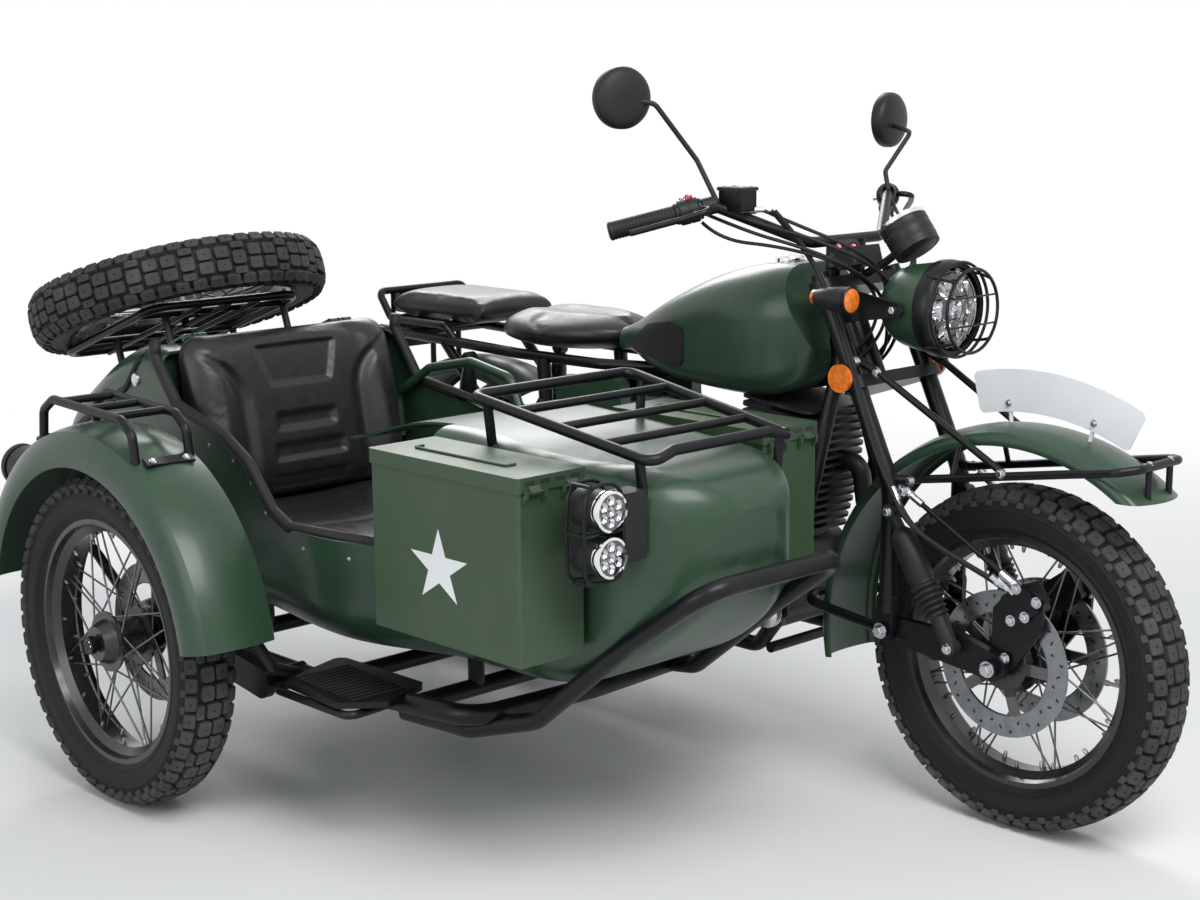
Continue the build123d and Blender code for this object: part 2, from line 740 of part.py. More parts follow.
ENTRY_PROFILE = [
    (COCKPIT_REAR, 1000),
    (COCKPIT_REAR, 850),
    (-1440, 757),
    (-1270, 715),
    (-1190, 672),
    (-1110, 585),
    (-1060, 560),
    (-775, 548),
    (-745, 590),
    (-745, 1000),
]
FAR_PROFILE = [
    (COCKPIT_REAR, 1000),
    (COCKPIT_REAR, 850),
    (-1440, 742),
    (COCKPIT_FRONT + 20, 690),
    (COCKPIT_FRONT + 20, 1000),
]
LID_SEAM = [
    (-1578, 1000),
    (-1578, 845),
    (-1640, 775),
    (-1900, 655),
    (-2100, 600),
    (-2100, 1000),
]

with BuildPart() as lid_zone:
    side_plate(CAR_SIDE.offset(-500), LID_SEAM, 1000)
with BuildPart() as lid_zone_inner:
    with BuildSketch(CAR_SIDE.offset(-500)):
        with BuildLine():
            Polyline(*LID_SEAM, close=True)
        make_face()
        offset(amount=-LID_GAP, kind=Kind.INTERSECTION)
    extrude(amount=1000)

with BuildPart() as sidecar_body:
    add(hull_solid)
    add(hull_cavity, mode=Mode.SUBTRACT)
    with BuildSketch(cross_plane(BULKHEAD_X, SIDECAR_Y)):
        with Locations((0, 600)):
            Rectangle(700, 700)
    extrude(amount=-6)
    with BuildSketch(cross_plane(-1545, SIDECAR_Y)):
        with Locations((0, SEAT_SHELF_Z - 2)):
            Rectangle(700, 4)
    extrude(amount=560)
    with BuildSketch(cross_plane(-985, SIDECAR_Y)):
        with Locations((0, SEAT_SHELF_Z - 103)):
            Rectangle(700, 204)
    extrude(amount=-4)
    add(hull_solid, mode=Mode.INTERSECT)
    with BuildSketch(CAR_SIDE.offset(150)):
        with BuildLine():
            Polyline(*ENTRY_PROFILE, close=True)
        make_face()
    extrude(amount=300, mode=Mode.SUBTRACT)
    with BuildSketch(CAR_SIDE.offset(-350)):
        with BuildLine():
            Polyline(*FAR_PROFILE, close=True)
        make_face()
    extrude(amount=500, mode=Mode.SUBTRACT)
    add(lid_zone.part, mode=Mode.SUBTRACT)
    for side in (-1, 1):
        for x in (BOX_REAR + 75, BOX_FRONT - 75):
            with BuildSketch(CAR_TOP.offset(BOX_FLOOR + 90)):
                with Locations((x, side * (BOX_INSET - BOX_PAD / 2))):
                    Rectangle(40, BOX_PAD)
            extrude(amount=110)
        start = side * HINGE_SPREAD - 4
        rod(car(TRUNK_HINGE[0], start, TRUNK_HINGE[1]), car(TRUNK_HINGE[0], start + 8, TRUNK_HINGE[1]), 7)
        side_plate(
            CAR_SIDE.offset(-start),
            [
                (TRUNK_HINGE[0] - 6, TRUNK_HINGE[1]),
                (TRUNK_HINGE[0] - 8, TRUNK_HINGE[1] - 20),
                (TRUNK_HINGE[0] + 14, TRUNK_HINGE[1] - 20),
                (TRUNK_HINGE[0] + 6, TRUNK_HINGE[1]),
            ],
            -8,
        )
        with BuildSketch(CAR_SIDE.offset(-start + 5)):
            with Locations(TRUNK_HINGE):
                Circle(HINGE_PIN_RADIUS + 0.5)
        extrude(amount=-18, mode=Mode.SUBTRACT)
sidecar_body.part.label = "sidecar_body"
export_step(sidecar_body.part, "parts/sidecar_body.step")

with BuildPart() as trunk_lid:
    add(hull_solid)
    add(hull_cavity, mode=Mode.SUBTRACT)
    add(lid_zone_inner.part, mode=Mode.INTERSECT)
    for side in (-1, 1):
        for barrel in (-28, 8):
            start = side * HINGE_SPREAD + barrel
            rod(car(TRUNK_HINGE[0], start, TRUNK_HINGE[1]), car(TRUNK_HINGE[0], start + 20, TRUNK_HINGE[1]), 7)
            side_plate(
                CAR_SIDE.offset(-start),
                [
                    (TRUNK_HINGE[0], TRUNK_HINGE[1] + 7),
                    (TRUNK_HINGE[0] - 60, TRUNK_HINGE[1] - 17),
                    (TRUNK_HINGE[0] - 60, TRUNK_HINGE[1] - 24),
                    (TRUNK_HINGE[0], TRUNK_HINGE[1] + 2),
                ],
                -20,
            )
        rod(
            car(TRUNK_HINGE[0], side * HINGE_SPREAD - 28, TRUNK_HINGE[1]),
            car(TRUNK_HINGE[0], side * HINGE_SPREAD + 28, TRUNK_HINGE[1]),
            HINGE_PIN_RADIUS,
        )
trunk_lid.part.label = "trunk_lid"
export_step(trunk_lid.part, "parts/trunk_lid.step")


def hull_half_width(x):
    """Half width of the sidecar body at a station, between its cross-sections."""
    for (x0, w0, *_), (x1, w1, *_) in zip(HULL_SECTIONS, HULL_SECTIONS[1:]):
        if x0 <= x <= x1:
            return w0 + (w1 - w0) * (x - x0) / (x1 - x0)


COAMING_RADIUS = 9
with BuildPart() as cockpit_coaming:
    near = [car(x, 3 - hull_half_width(x), z) for x, z in ENTRY_PROFILE[1:-2]]
    tube([car(COCKPIT_REAR + 4, 3 - hull_half_width(COCKPIT_REAR), 880)] + near, COAMING_RADIUS, 22)
    far = [car(x, hull_half_width(x) - 3, z) for x, z in FAR_PROFILE[1:-1]]
    tube([car(COCKPIT_REAR + 4, hull_half_width(COCKPIT_REAR) - 3, 880)] + far, COAMING_RADIUS, 22)
    add(sidecar_body.part, mode=Mode.SUBTRACT)
cockpit_coaming.part.label = "cockpit_coaming"
export_step(cockpit_coaming.part, "parts/cockpit_coaming.step")

SEAT_HALF_WIDTH = 278
with BuildPart() as sidecar_seat:
    side_plate(
        CAR_SIDE.offset(-SEAT_HALF_WIDTH),
        [
            (-1402, 530),
            (-1452, 884),
            (-1478, 905),
            (-1509, 905),
            (-1511, 840),
            (BULKHEAD_X, 815),
            (BULKHEAD_X, 530),
        ],
        2 * SEAT_HALF_WIDTH,
        8,
    )
    side_plate(
        CAR_SIDE.offset(-SEAT_HALF_WIDTH + 12),
        [(-1542, SEAT_SHELF_Z), (-1542, 526), (-1010, 526), (-960, 508), (-960, SEAT_SHELF_Z)],
        2 * SEAT_HALF_WIDTH - 24,
        12,
    )
sidecar_seat.part.label = "sidecar_seat"
export_step(sidecar_seat.part, "parts/sidecar_seat.step")

GRAB_RAIL_Y = 291
with BuildPart() as grab_rail_bent:
    tube(
        [
            car(-1474, GRAB_RAIL_Y, 610),
            car(-1484, GRAB_RAIL_Y, 705),
            car(-1368, GRAB_RAIL_Y, 776),
            car(-1225, GRAB_RAIL_Y, 804),
            car(-1095, GRAB_RAIL_Y, 782),
            car(-1056, GRAB_RAIL_Y, 700),
        ],
        10,
        30,
    )
    rod(car(-1474, GRAB_RAIL_Y, 625), car(-1474, GRAB_RAIL_Y + 24, 625), 8)
    add(sidecar_body.part, mode=Mode.SUBTRACT)
with BuildPart() as grab_rail:
    add(grab_rail_bent.part.solids().sort_by(SortBy.VOLUME)[-1])
grab_rail.part.label = "grab_rail"
export_step(grab_rail.part, "parts/grab_rail.step")

# ---- Trunk rack and spare wheel ---------------------------------------------------------------

SPARE_PLANE = Plane(
    origin=car(SPARE_X, SPARE_SHIFT, SPARE_HEIGHT),
    x_dir=(cos(radians(LID_SLOPE)), 0, sin(radians(LID_SLOPE))),
    z_dir=(-sin(radians(LID_SLOPE)), 0, cos(radians(LID_SLOPE))),
)
SPARE_RACK_TUBE = 9
RACK_LEVEL = -TYRE_HALF_WIDTH - SPARE_RACK_TUBE + 1.2


def spare_point(ahead, side, up):
    """Point measured from the middle of the spare wheel."""
    return SPARE_PLANE.from_local_coords(Vector(ahead, side, up))


with BuildPart() as spare_rack:
    rack_rear, rack_front, half_rack = -225, 188, 190
    loop = [(rack_rear, -1), (rack_rear, 1), (rack_front, 1), (rack_front, -1)]
    tube(
        [spare_point(ahead, half_rack * s, RACK_LEVEL) for ahead, s in loop],
        SPARE_RACK_TUBE,
        50,
        close=True,
    )
    for ahead in (-110, 110):
        rod(
            spare_point(ahead, -half_rack, RACK_LEVEL), spare_point(ahead, half_rack, RACK_LEVEL), 7
        )
    for across in (-75, 0, 75):
        rod(
            spare_point(rack_rear, across, RACK_LEVEL - 7),
            spare_point(rack_front, across, RACK_LEVEL - 7),
            6,
        )
    rod(spare_point(0, 0, RACK_LEVEL - 14), spare_point(0, 0, 78), 9)
    rod(spare_point(0, 0, HUB_HALF_WIDTH), spare_point(0, 0, HUB_HALF_WIDTH + 9), 24)
    for ahead in (-110, 110):
        for across in (-115, half_rack):
            rod(spare_point(ahead, across, RACK_LEVEL), spare_point(ahead, across, -280), 8)
    add(hull_solid, mode=Mode.SUBTRACT)
    add(spare_tyre.part, mode=Mode.SUBTRACT)
    add(spare_wheel.part, mode=Mode.SUBTRACT)
spare_rack.part.label = "spare_rack"
export_step(spare_rack.part, "parts/spare_rack.step")

# ---- Side boxes -------------------------------------------------------------------------------

BOX_SEAM = BOX_FLOOR + BOX_HEIGHT - BOX_LID_HEIGHT
BOX_HINGE = (BOX_FRONT + BOX_LIP + BOX_HINGE_RADIUS + 1, BOX_SEAM + 1)

with BuildPart() as side_boxes:
    for side in (-1, 1):
        box_middle = side * (BOX_INSET + BOX_WIDTH / 2)
        with BuildSketch(CAR_TOP.offset(BOX_FLOOR)):
            with Locations((BOX_REAR + BOX_LENGTH / 2, box_middle)):
                RectangleRounded(BOX_LENGTH, BOX_WIDTH, 6)
        extrude(amount=BOX_SEAM - BOX_FLOOR)
        with BuildSketch(CAR_TOP.offset(BOX_FLOOR + BOX_WALL)):
            with Locations((BOX_REAR + BOX_LENGTH / 2, box_middle)):
                RectangleRounded(BOX_LENGTH - 2 * BOX_WALL, BOX_WIDTH - 2 * BOX_WALL, 4)
        extrude(amount=BOX_SEAM - BOX_FLOOR, mode=Mode.SUBTRACT)
        for across in (-BOX_HINGE_SPREAD, BOX_HINGE_SPREAD):
            pin_y = box_middle + across
            rod(
                car(BOX_HINGE[0], pin_y - 24, BOX_HINGE[1]),
                car(BOX_HINGE[0], pin_y + 24, BOX_HINGE[1]),
                2,
            )
            for end in (-24, 18):
                side_plate(
                    CAR_SIDE.offset(-(pin_y + end)),
                    [
                        (BOX_FRONT, BOX_SEAM - 22),
                        (BOX_HINGE[0] + 3, BOX_SEAM - 8),
                        (BOX_HINGE[0] + 3, BOX_HINGE[1] + 3),
                        (BOX_HINGE[0] - 3, BOX_HINGE[1] + 3),
                        (BOX_HINGE[0] - 3, BOX_SEAM - 4),
                        (BOX_FRONT, BOX_SEAM - 6),
                    ],
                    -6,
                )
side_boxes.part.label = "side_boxes"
export_step(side_boxes.part, "parts/side_boxes.step")

for side, side_name in ((-1, "right"), (1, "left")):
    box_middle = side * (BOX_INSET + BOX_WIDTH / 2)
    with BuildPart() as box_lid:
        with BuildSketch(CAR_TOP.offset(BOX_SEAM + 0.5)):
            with Locations((BOX_REAR + BOX_LENGTH / 2, box_middle)):
                RectangleRounded(BOX_LENGTH + 2 * BOX_LIP, BOX_WIDTH + 2 * BOX_LIP, 7)
        extrude(amount=BOX_LID_HEIGHT)
        with BuildSketch(CAR_TOP.offset(BOX_SEAM + 0.5)):
            with Locations((BOX_REAR + BOX_LENGTH / 2, box_middle)):
                RectangleRounded(BOX_LENGTH, BOX_WIDTH, 5)
        extrude(amount=BOX_LID_HEIGHT - BOX_WALL, mode=Mode.SUBTRACT)
        for across in (-BOX_HINGE_SPREAD, BOX_HINGE_SPREAD):
            barrel_y = box_middle + across
            rod(
                car(BOX_HINGE[0], barrel_y - 12, BOX_HINGE[1]),
                car(BOX_HINGE[0], barrel_y + 12, BOX_HINGE[1]),
                BOX_HINGE_RADIUS,
            )
            side_plate(
                CAR_SIDE.offset(-(barrel_y - 12)),
                [
                    (BOX_FRONT + BOX_LIP - 1, BOX_SEAM + 3),
                    (BOX_HINGE[0], BOX_HINGE[1]),
                    (BOX_HINGE[0], BOX_HINGE[1] + BOX_HINGE_RADIUS),
                    (BOX_FRONT + BOX_LIP - 1, BOX_SEAM + 12),
                ],
                -24,
            )
            with BuildSketch(CAR_SIDE.offset(-(barrel_y - 14))):
                with Locations(BOX_HINGE):
                    Circle(2.6)
            extrude(amount=-28, mode=Mode.SUBTRACT)
        handle_z = BOX_SEAM + 0.5 + BOX_LID_HEIGHT + 2
        tube(
            [
                car(BOX_REAR + 60, box_middle, handle_z),
                car(BOX_REAR + 60, box_middle - 22, handle_z),
                car(BOX_FRONT - 90, box_middle - 22, handle_z),
                car(BOX_FRONT - 90, box_middle, handle_z),
            ],
            2.5,
            8,
        )
    box_lid.part.label = f"box_lid_{side_name}"
    export_step(box_lid.part, f"parts/box_lid_{side_name}.step")

# ---- Nose rack, lamps and bumper --------------------------------------------------------------

NOSE_RACK_REAR = (-640, 198, 853)
NOSE_RACK_FRONT = (-205, 176, 786)


def nose_rack_point(x, side):
    """Point on a side tube of the nose rack."""
    share = (x - NOSE_RACK_REAR[0]) / (NOSE_RACK_FRONT[0] - NOSE_RACK_REAR[0])
    across, up = (a + share * (b - a) for a, b in zip(NOSE_RACK_REAR[1:], NOSE_RACK_FRONT[1:]))
    return car(x, side * across, up)


with BuildPart() as nose_rack:
    tube(
        [
            nose_rack_point(NOSE_RACK_REAR[0], -1),
            nose_rack_point(NOSE_RACK_FRONT[0], -1),
            car(NOSE_RACK_FRONT[0] - 5, -120, NOSE_RACK_FRONT[2] + 14),
            car(NOSE_RACK_FRONT[0] - 5, 120, NOSE_RACK_FRONT[2] + 14),
            nose_rack_point(NOSE_RACK_FRONT[0], 1),
            nose_rack_point(NOSE_RACK_REAR[0], 1),
        ],
        RACK_TUBE_RADIUS,
        24,
        close=True,
    )
    for x in (-530, -425, -320):
        rod(nose_rack_point(x, -1), nose_rack_point(x, 1), RACK_TUBE_RADIUS - 2)
    for x in (-600, -235):
        for side in (-1, 1):
            leg = nose_rack_point(x, side)
            rod(leg, leg - Vector(0, side * 24, 180), RACK_TUBE_RADIUS - 1)
    add(hull_solid, mode=Mode.SUBTRACT)
nose_rack.part.label = "nose_rack"
export_step(nose_rack.part, "parts/nose_rack.step")

LAMP_HEIGHTS = (722, 645)
LAMP_SPOT = (-262, -282)
with BuildPart() as spotlights:
    for lamp_z in LAMP_HEIGHTS:
        with BuildSketch(cross_plane(LAMP_SPOT[0], SIDECAR_Y)):
            with Locations((LAMP_SPOT[1], lamp_z)):
                Circle(33)
        extrude(amount=62)
        rod(
            car(LAMP_SPOT[0] + 30, LAMP_SPOT[1] + 20, lamp_z), car(LAMP_SPOT[0] + 30, LAMP_SPOT[1] + 90, lamp_z), 8
        )
    with BuildSketch(CAR_TOP.offset(LAMP_HEIGHTS[1] - 20)):
        with Locations((LAMP_SPOT[0] + 30, LAMP_SPOT[1] + 72)):
            Rectangle(44, 50)
    extrude(amount=LAMP_HEIGHTS[0] - LAMP_HEIGHTS[1] + 40)
    add(hull_solid, mode=Mode.SUBTRACT)
spotlights.part.label = "spotlights"
export_step(spotlights.part, "parts/spotlights.step")

RAIL_OUT = -335
RAIL_IN = 285
CHASSIS_Z = 285
CHASSIS_FRONT = -560
CHASSIS_REAR = -1640

with BuildPart() as sidecar_chassis:
    tube(
        [
            car(-900, RAIL_OUT, CHASSIS_Z),
            car(CHASSIS_FRONT, RAIL_OUT + 60, CHASSIS_Z),
            car(CHASSIS_FRONT + 20, 0, CHASSIS_Z),
            car(CHASSIS_FRONT, RAIL_IN, CHASSIS_Z),
            car(CHASSIS_REAR, RAIL_IN, CHASSIS_Z),
            car(CHASSIS_REAR, RAIL_OUT, CHASSIS_Z),
        ],
        CHASSIS_TUBE_RADIUS,
        70,
        close=True,
    )
    for x in (-930, -1330):
        rod(car(x, RAIL_OUT, CHASSIS_Z), car(x, RAIL_IN, CHASSIS_Z), CHASSIS_TUBE_RADIUS - 3)
    for x, y, up in ((-700, 150, 120), (-700, -150, 120), (-1330, 190, 160), (-1330, -190, 160)):
        rod(car(x, y, CHASSIS_Z), car(x, y, CHASSIS_Z + up), 16)
    for x in (-700,):
        rod(car(x, RAIL_OUT + 40, CHASSIS_Z), car(x, RAIL_IN, CHASSIS_Z), CHASSIS_TUBE_RADIUS - 3)
    step = [(-990, -252), (-935, -423), (-755, -434), (-695, -365), (-735, -245)]
    with BuildSketch(CAR_TOP.offset(CHASSIS_Z + 9)) as step_sketch:
        with BuildLine():
            Polyline(*step, close=True)
        make_face()
        fillet(step_sketch.vertices(), 20)
    extrude(amount=12)
    tube(
        [
            car(-740, RAIL_OUT + 30, CHASSIS_Z - 2),
            car(-730, -425, CHASSIS_Z - 2),
            car(-960, -425, CHASSIS_Z - 2),
            car(-980, RAIL_OUT, CHASSIS_Z - 2),
        ],
        8,
        20,
    )
    # Four arms to the motorcycle: two low, two high
    car_to_bike = BIKE_Y - SIDECAR_Y
    frame_side = car_to_bike - RAIL_SPREAD
    rod(car(-590, RAIL_IN, CHASSIS_Z), car(-490, frame_side - 34, 352), 17)
    rod(car(-1330, RAIL_IN, CHASSIS_Z), car(-1120, frame_side - 6, LOWER_RAIL_Z + 4), 17)
    rod(car(-620, RAIL_IN, CHASSIS_Z + 6), car(-446, frame_side + 20, 600), 13)
    rod(car(-1330, RAIL_IN, CHASSIS_Z + 6), car(-1205, frame_side - 4, 700), 13)
    rod(car(-492, frame_side - 40, 352), car(-502, frame_side + 2, 352), 14)
    with BuildSketch(BIKE_SIDE.offset(RAIL_SPREAD + FRAME_TUBE_RADIUS + 2)):
        with Locations((-494, 352)):
            Circle(26)
    extrude(amount=26)
    # Stays of the sidecar mudguard
    tube([car(-1000, RAIL_OUT, CHASSIS_Z), car(-950, -435, 330), car(-950, -500, 430)], 11, 30)
    tube([car(-1600, RAIL_OUT, CHASSIS_Z), car(-1640, -400, 420), car(-1640, -500, 560)], 11, 30)
    tube([car(-1330, RAIL_OUT, CHASSIS_Z), car(-1375, -355, 420), car(-1375, -375, 700), car(-1340, -520, 735)], 14, 40)
    add(hull_solid, mode=Mode.SUBTRACT)
    add(main_frame.part, mode=Mode.SUBTRACT)
sidecar_chassis.part.label = "sidecar_chassis"

with BuildPart() as sidecar_bumper:
    tube(
        [
            car(-765, -270, 250),
            car(-600, -252, 250),
            car(-470, -205, 285),
            car(-250, -185, 470),
            car(-84, -172, 588),
            car(-84, 172, 588),
            car(-250, 185, 470),
            car(-470, 205, 300),
            car(-560, 215, 285),
        ],
        BUMPER_TUBE_RADIUS,
        60,
    )
    add(sidecar_chassis.part, mode=Mode.SUBTRACT)
    add(hull_solid, mode=Mode.SUBTRACT)
sidecar_bumper.part.label = "sidecar_bumper"
export_step(sidecar_bumper.part, "parts/sidecar_bumper.step")

# ---- Sidecar wheel carrier and mudguard -------------------------------------------------------

SIDECAR_ARM_Y = -1038 + 610
with BuildPart() as carriers:
    add(swingarms.part)
    wheel_y = SIDECAR_WHEEL_Y - SIDECAR_Y
    with BuildSketch(CAR_SIDE.offset(-SIDECAR_ARM_Y)) as sidecar_arm:
        with Locations((-1010, CHASSIS_Z)):
            Circle(30)
        with Locations((SIDECAR_WHEEL_X, TYRE_RADIUS)):
            Circle(28)
        make_hull()
    extrude(amount=-18)
    rod(car(-1010, SIDECAR_ARM_Y + 10, CHASSIS_Z), car(-1010, RAIL_OUT + 10, CHASSIS_Z), 22)
    rod(
        car(SIDECAR_WHEEL_X, SIDECAR_ARM_Y + 17, TYRE_RADIUS),
        car(SIDECAR_WHEEL_X, wheel_y - HUB_HALF_WIDTH - 20, TYRE_RADIUS),
        AXLE_RADIUS,
    )
    rod(
        car(SIDECAR_WHEEL_X, wheel_y - HUB_HALF_WIDTH - 6, TYRE_RADIUS),
        car(SIDECAR_WHEEL_X, wheel_y - HUB_HALF_WIDTH - 18, TYRE_RADIUS),
        18,
    )
    add(sidecar_chassis.part, mode=Mode.SUBTRACT)
carriers.part.label = "swingarms"
export_step(carriers.part, "parts/swingarms.step")

SIDECAR_FENDER_SHAPE = (432, 420, 352, 88)
SIDECAR_FENDER_Y = SIDECAR_WHEEL_Y + 3
SIDECAR_FENDER_FROM, SIDECAR_FENDER_TO = 9, 172
sidecar_fender_fill = fender_wedge(
    SIDECAR_WHEEL_X, SIDECAR_FENDER_Y, SIDECAR_FENDER_SHAPE, SIDECAR_FENDER_FROM, SIDECAR_FENDER_TO
)
with BuildPart() as sidecar_fender:
    add(
        fender(
            SIDECAR_WHEEL_X, SIDECAR_FENDER_Y, SIDECAR_FENDER_SHAPE, SIDECAR_FENDER_FROM, SIDECAR_FENDER_TO
        )
    )
    add(carriers.part, mode=Mode.SUBTRACT)
sidecar_fender.part.label = "sidecar_fender"
export_step(sidecar_fender.part, "parts/sidecar_fender.step")

with BuildPart() as chassis_trimmed:
    add(sidecar_chassis.part)
    add(sidecar_fender_fill, mode=Mode.SUBTRACT)
chassis_trimmed.part.label = "sidecar_chassis"
export_step(chassis_trimmed.part, "parts/sidecar_chassis.step")

with BuildPart() as fender_rack:
    fender_middle = SIDECAR_FENDER_Y - SIDECAR_Y
    for across in (-58, 58):
        y = fender_middle + across
        tube(
            [
                car(-1506, y, 640),
                car(-1490, y, 775),
                car(-1450, y, 800),
                car(-1195, y, 790),
                car(-1160, y, 765),
                car(-1140, y, 640),
            ],
            RACK_TUBE_RADIUS - 1,
            22,
        )
    for x in (-1420, -1325, -1230):
        z = 800 - (x + 1450) * 10 / 255
        rod(car(x, fender_middle - 58, z), car(x, fender_middle + 58, z), RACK_TUBE_RADIUS - 2)
    add(sidecar_fender_fill, mode=Mode.SUBTRACT)
fender_rack.part.label = "fender_rack"
export_step(fender_rack.part, "parts/fender_rack.step")

with BuildPart() as tail_lights:
    with BuildSketch(cross_plane(-1600, SIDECAR_FENDER_Y)) as lamp_ring:
        with Locations((0, 625)):
            Circle(44)
    extrude(amount=-90)
    with BuildSketch(cross_plane(-1690, SIDECAR_FENDER_Y)):
        with Locations((0, 625)):
            Circle(40)
    extrude(amount=-24)
    add(sidecar_fender_fill, mode=Mode.SUBTRACT)
    with BuildSketch(cross_plane(-1777, BIKE_Y)):
        with Locations((0, 868)):
            RectangleRounded(150, 52, 20)
    extrude(amount=-38)
    add(rear_rack.part, mode=Mode.SUBTRACT)
    add(main_frame.part, mode=Mode.SUBTRACT)
tail_lights.part.label = "tail_lights"
export_step(tail_lights.part, "parts/tail_lights.step")

# ---- Steering ---------------------------------------------------------------------------------

KNEE_DROP = -235
YOKE_LOW, YOKE_HIGH, YOKE_THICKNESS = -36, 164, 24

with BuildPart() as fork:
    for side in (-1, 1):
        y = side * FORK_SPREAD
        tube(
            [
                steer_point(FORK_OFFSET, y, YOKE_HIGH + YOKE_THICKNESS + 14),
                steer_point(FORK_OFFSET, y, KNEE_DROP),
                bike(LINK_PIVOT[0] + 4, y, LINK_PIVOT[1] + 36),
            ],
            FORK_TUBE_RADIUS,
            120,
        )
        with BuildSketch(BIKE_SIDE.offset(-side * (ARM_OFFSET + ARM_THICKNESS + 2))):
            with Locations(LINK_PIVOT):
                Circle(22)
            with Locations((LINK_PIVOT[0] + 4, LINK_PIVOT[1] + 60)):
                Circle(20)
            make_hull()
        extrude(amount=-side * 14)
        rod(
            bike(LINK_PIVOT[0], side * (ARM_OFFSET - 4), LINK_PIVOT[1]),
            bike(LINK_PIVOT[0], side * (ARM_OFFSET + ARM_THICKNESS + 24), LINK_PIVOT[1]),
            9,
        )
        side_plate(
            BIKE_SIDE.offset(-side * (FORK_SPREAD - 10)),
            [
                (SHOCK_TOP[0] - 22, SHOCK_TOP[1] + 40),
                (SHOCK_TOP[0] + 14, SHOCK_TOP[1] + 12),
                (SHOCK_TOP[0] + 14, SHOCK_TOP[1] - 14),
                (SHOCK_TOP[0] - 22, SHOCK_TOP[1] - 20),
            ],
            -side * 6,
        )
    for level in (YOKE_LOW, YOKE_HIGH):
        with BuildSketch(STEER_PLANE.offset(level)):
            with Locations((FORK_OFFSET, -FORK_SPREAD), (FORK_OFFSET, FORK_SPREAD)):
                Circle(FORK_TUBE_RADIUS + 9)
            Circle(34)
            make_hull()
        extrude(amount=YOKE_THICKNESS)
    with BuildSketch(STEER_PLANE.offset(YOKE_LOW)):
        Circle(STEM_RADIUS)
    extrude(amount=YOKE_HIGH - YOKE_LOW)
fork.part.label = "fork"
export_step(fork.part, "parts/fork.step")

FRONT_FENDER_SHAPE = (446, 436, 412, 76)
FRONT_FENDER_FROM, FRONT_FENDER_TO = 50, 190
front_fender_fill = fender_wedge(0, BIKE_Y, FRONT_FENDER_SHAPE, FRONT_FENDER_FROM, FRONT_FENDER_TO)

with BuildPart() as leading_arms:
    for side in (-1, 1):
        with BuildSketch(BIKE_SIDE.offset(-side * ARM_OFFSET)):
            with Locations(LINK_PIVOT):
                Circle(24)
            with Locations(LINK_SHOCK_EYE):
                Circle(24)
            with Locations((0, TYRE_RADIUS)):
                Circle(26)
            make_hull()
        extrude(amount=-side * ARM_THICKNESS)
        rod(
            bike(LINK_SHOCK_EYE[0], side * ARM_OFFSET, LINK_SHOCK_EYE[1]),
            bike(LINK_SHOCK_EYE[0], side * (FORK_SPREAD + 24), LINK_SHOCK_EYE[1]),
            7,
        )
        carrier_y = ARM_OFFSET - 8
        side_plate(
            BIKE_SIDE.offset(-side * carrier_y),
            [(-16, 345), (26, 322), (92, 410), (96, 470), (40, 500), (-14, 440)],
            -side * 8,
            10,
        )
        side_plate(
            BIKE_SIDE.offset(-side * 50),
            [(2, 462), (38, 412), (92, 452), (56, 502)],
            -side * 40,
            10,
        )
    for side in (-1, 1):
        with BuildSketch(BIKE_SIDE.offset(-side * (DISC_OFFSET - DISC_THICKNESS / 2 - 5.5))) as slot:
            with Locations((0, TYRE_RADIUS)):
                Circle(DISC_RADIUS + 6)
        extrude(slot.sketch, amount=-side * (DISC_THICKNESS + 11), mode=Mode.SUBTRACT)
    rod(bike(0, -ARM_OFFSET - 34, TYRE_RADIUS), bike(0, ARM_OFFSET + 34, TYRE_RADIUS), AXLE_RADIUS)
    for side in (-1, 1):
        rod(
            bike(0, side * (ARM_OFFSET + ARM_THICKNESS), TYRE_RADIUS),
            bike(0, side * (ARM_OFFSET + ARM_THICKNESS + 14), TYRE_RADIUS),
            16,
        )
    loop_y = ARM_OFFSET + ARM_THICKNESS / 2
    tube(
        [
            bike(-200, -loop_y, 342),
            bike(-470, -loop_y, 374),
            bike(-470, loop_y, 374),
            bike(-200, loop_y, 342),
        ],
        10,
        48,
    )
    rod(bike(-470, 0, 374), bike(-436, 0, 374), 7)
    add(fork.part, mode=Mode.SUBTRACT)
    add(front_fender_fill, mode=Mode.SUBTRACT)
leading_arms.part.label = "leading_arms"
export_step(leading_arms.part, "parts/leading_arms.step")

with BuildPart() as front_shocks:
    for side in (-1, 1):
        y = side * (FORK_SPREAD + 10)
        foot, head = bike(LINK_SHOCK_EYE[0], y, LINK_SHOCK_EYE[1]), bike(SHOCK_TOP[0], y, SHOCK_TOP[1])
        rod(foot, head, 8)
        for eye in (LINK_SHOCK_EYE, SHOCK_TOP):
            rod(bike(eye[0], y - 12, eye[1]), bike(eye[0], y + 12, eye[1]), 13)
        shock_plane = Plane(origin=foot, z_dir=head - foot)
        for start, length, radius in ((22, 60, 17), (82, 150, 25)):
            with BuildSketch(shock_plane.offset(start)):
                Circle(radius)
            extrude(amount=length)
    add(fork.part, mode=Mode.SUBTRACT)
    add(leading_arms.part, mode=Mode.SUBTRACT)
front_shocks.part.label = "front_shocks"
export_step(front_shocks.part, "parts/front_shocks.step")

with BuildPart() as front_fender:
    add(fender(0, BIKE_Y, FRONT_FENDER_SHAPE, FRONT_FENDER_FROM, FRONT_FENDER_TO))
    with BuildSketch(BIKE_TOP.offset(472)):
        with Locations((330, 0)):
            Rectangle(200, 260)
    extrude(amount=200, mode=Mode.SUBTRACT)
front_fender.part.label = "front_fender"
export_step(front_fender.part, "parts/front_fender.step")

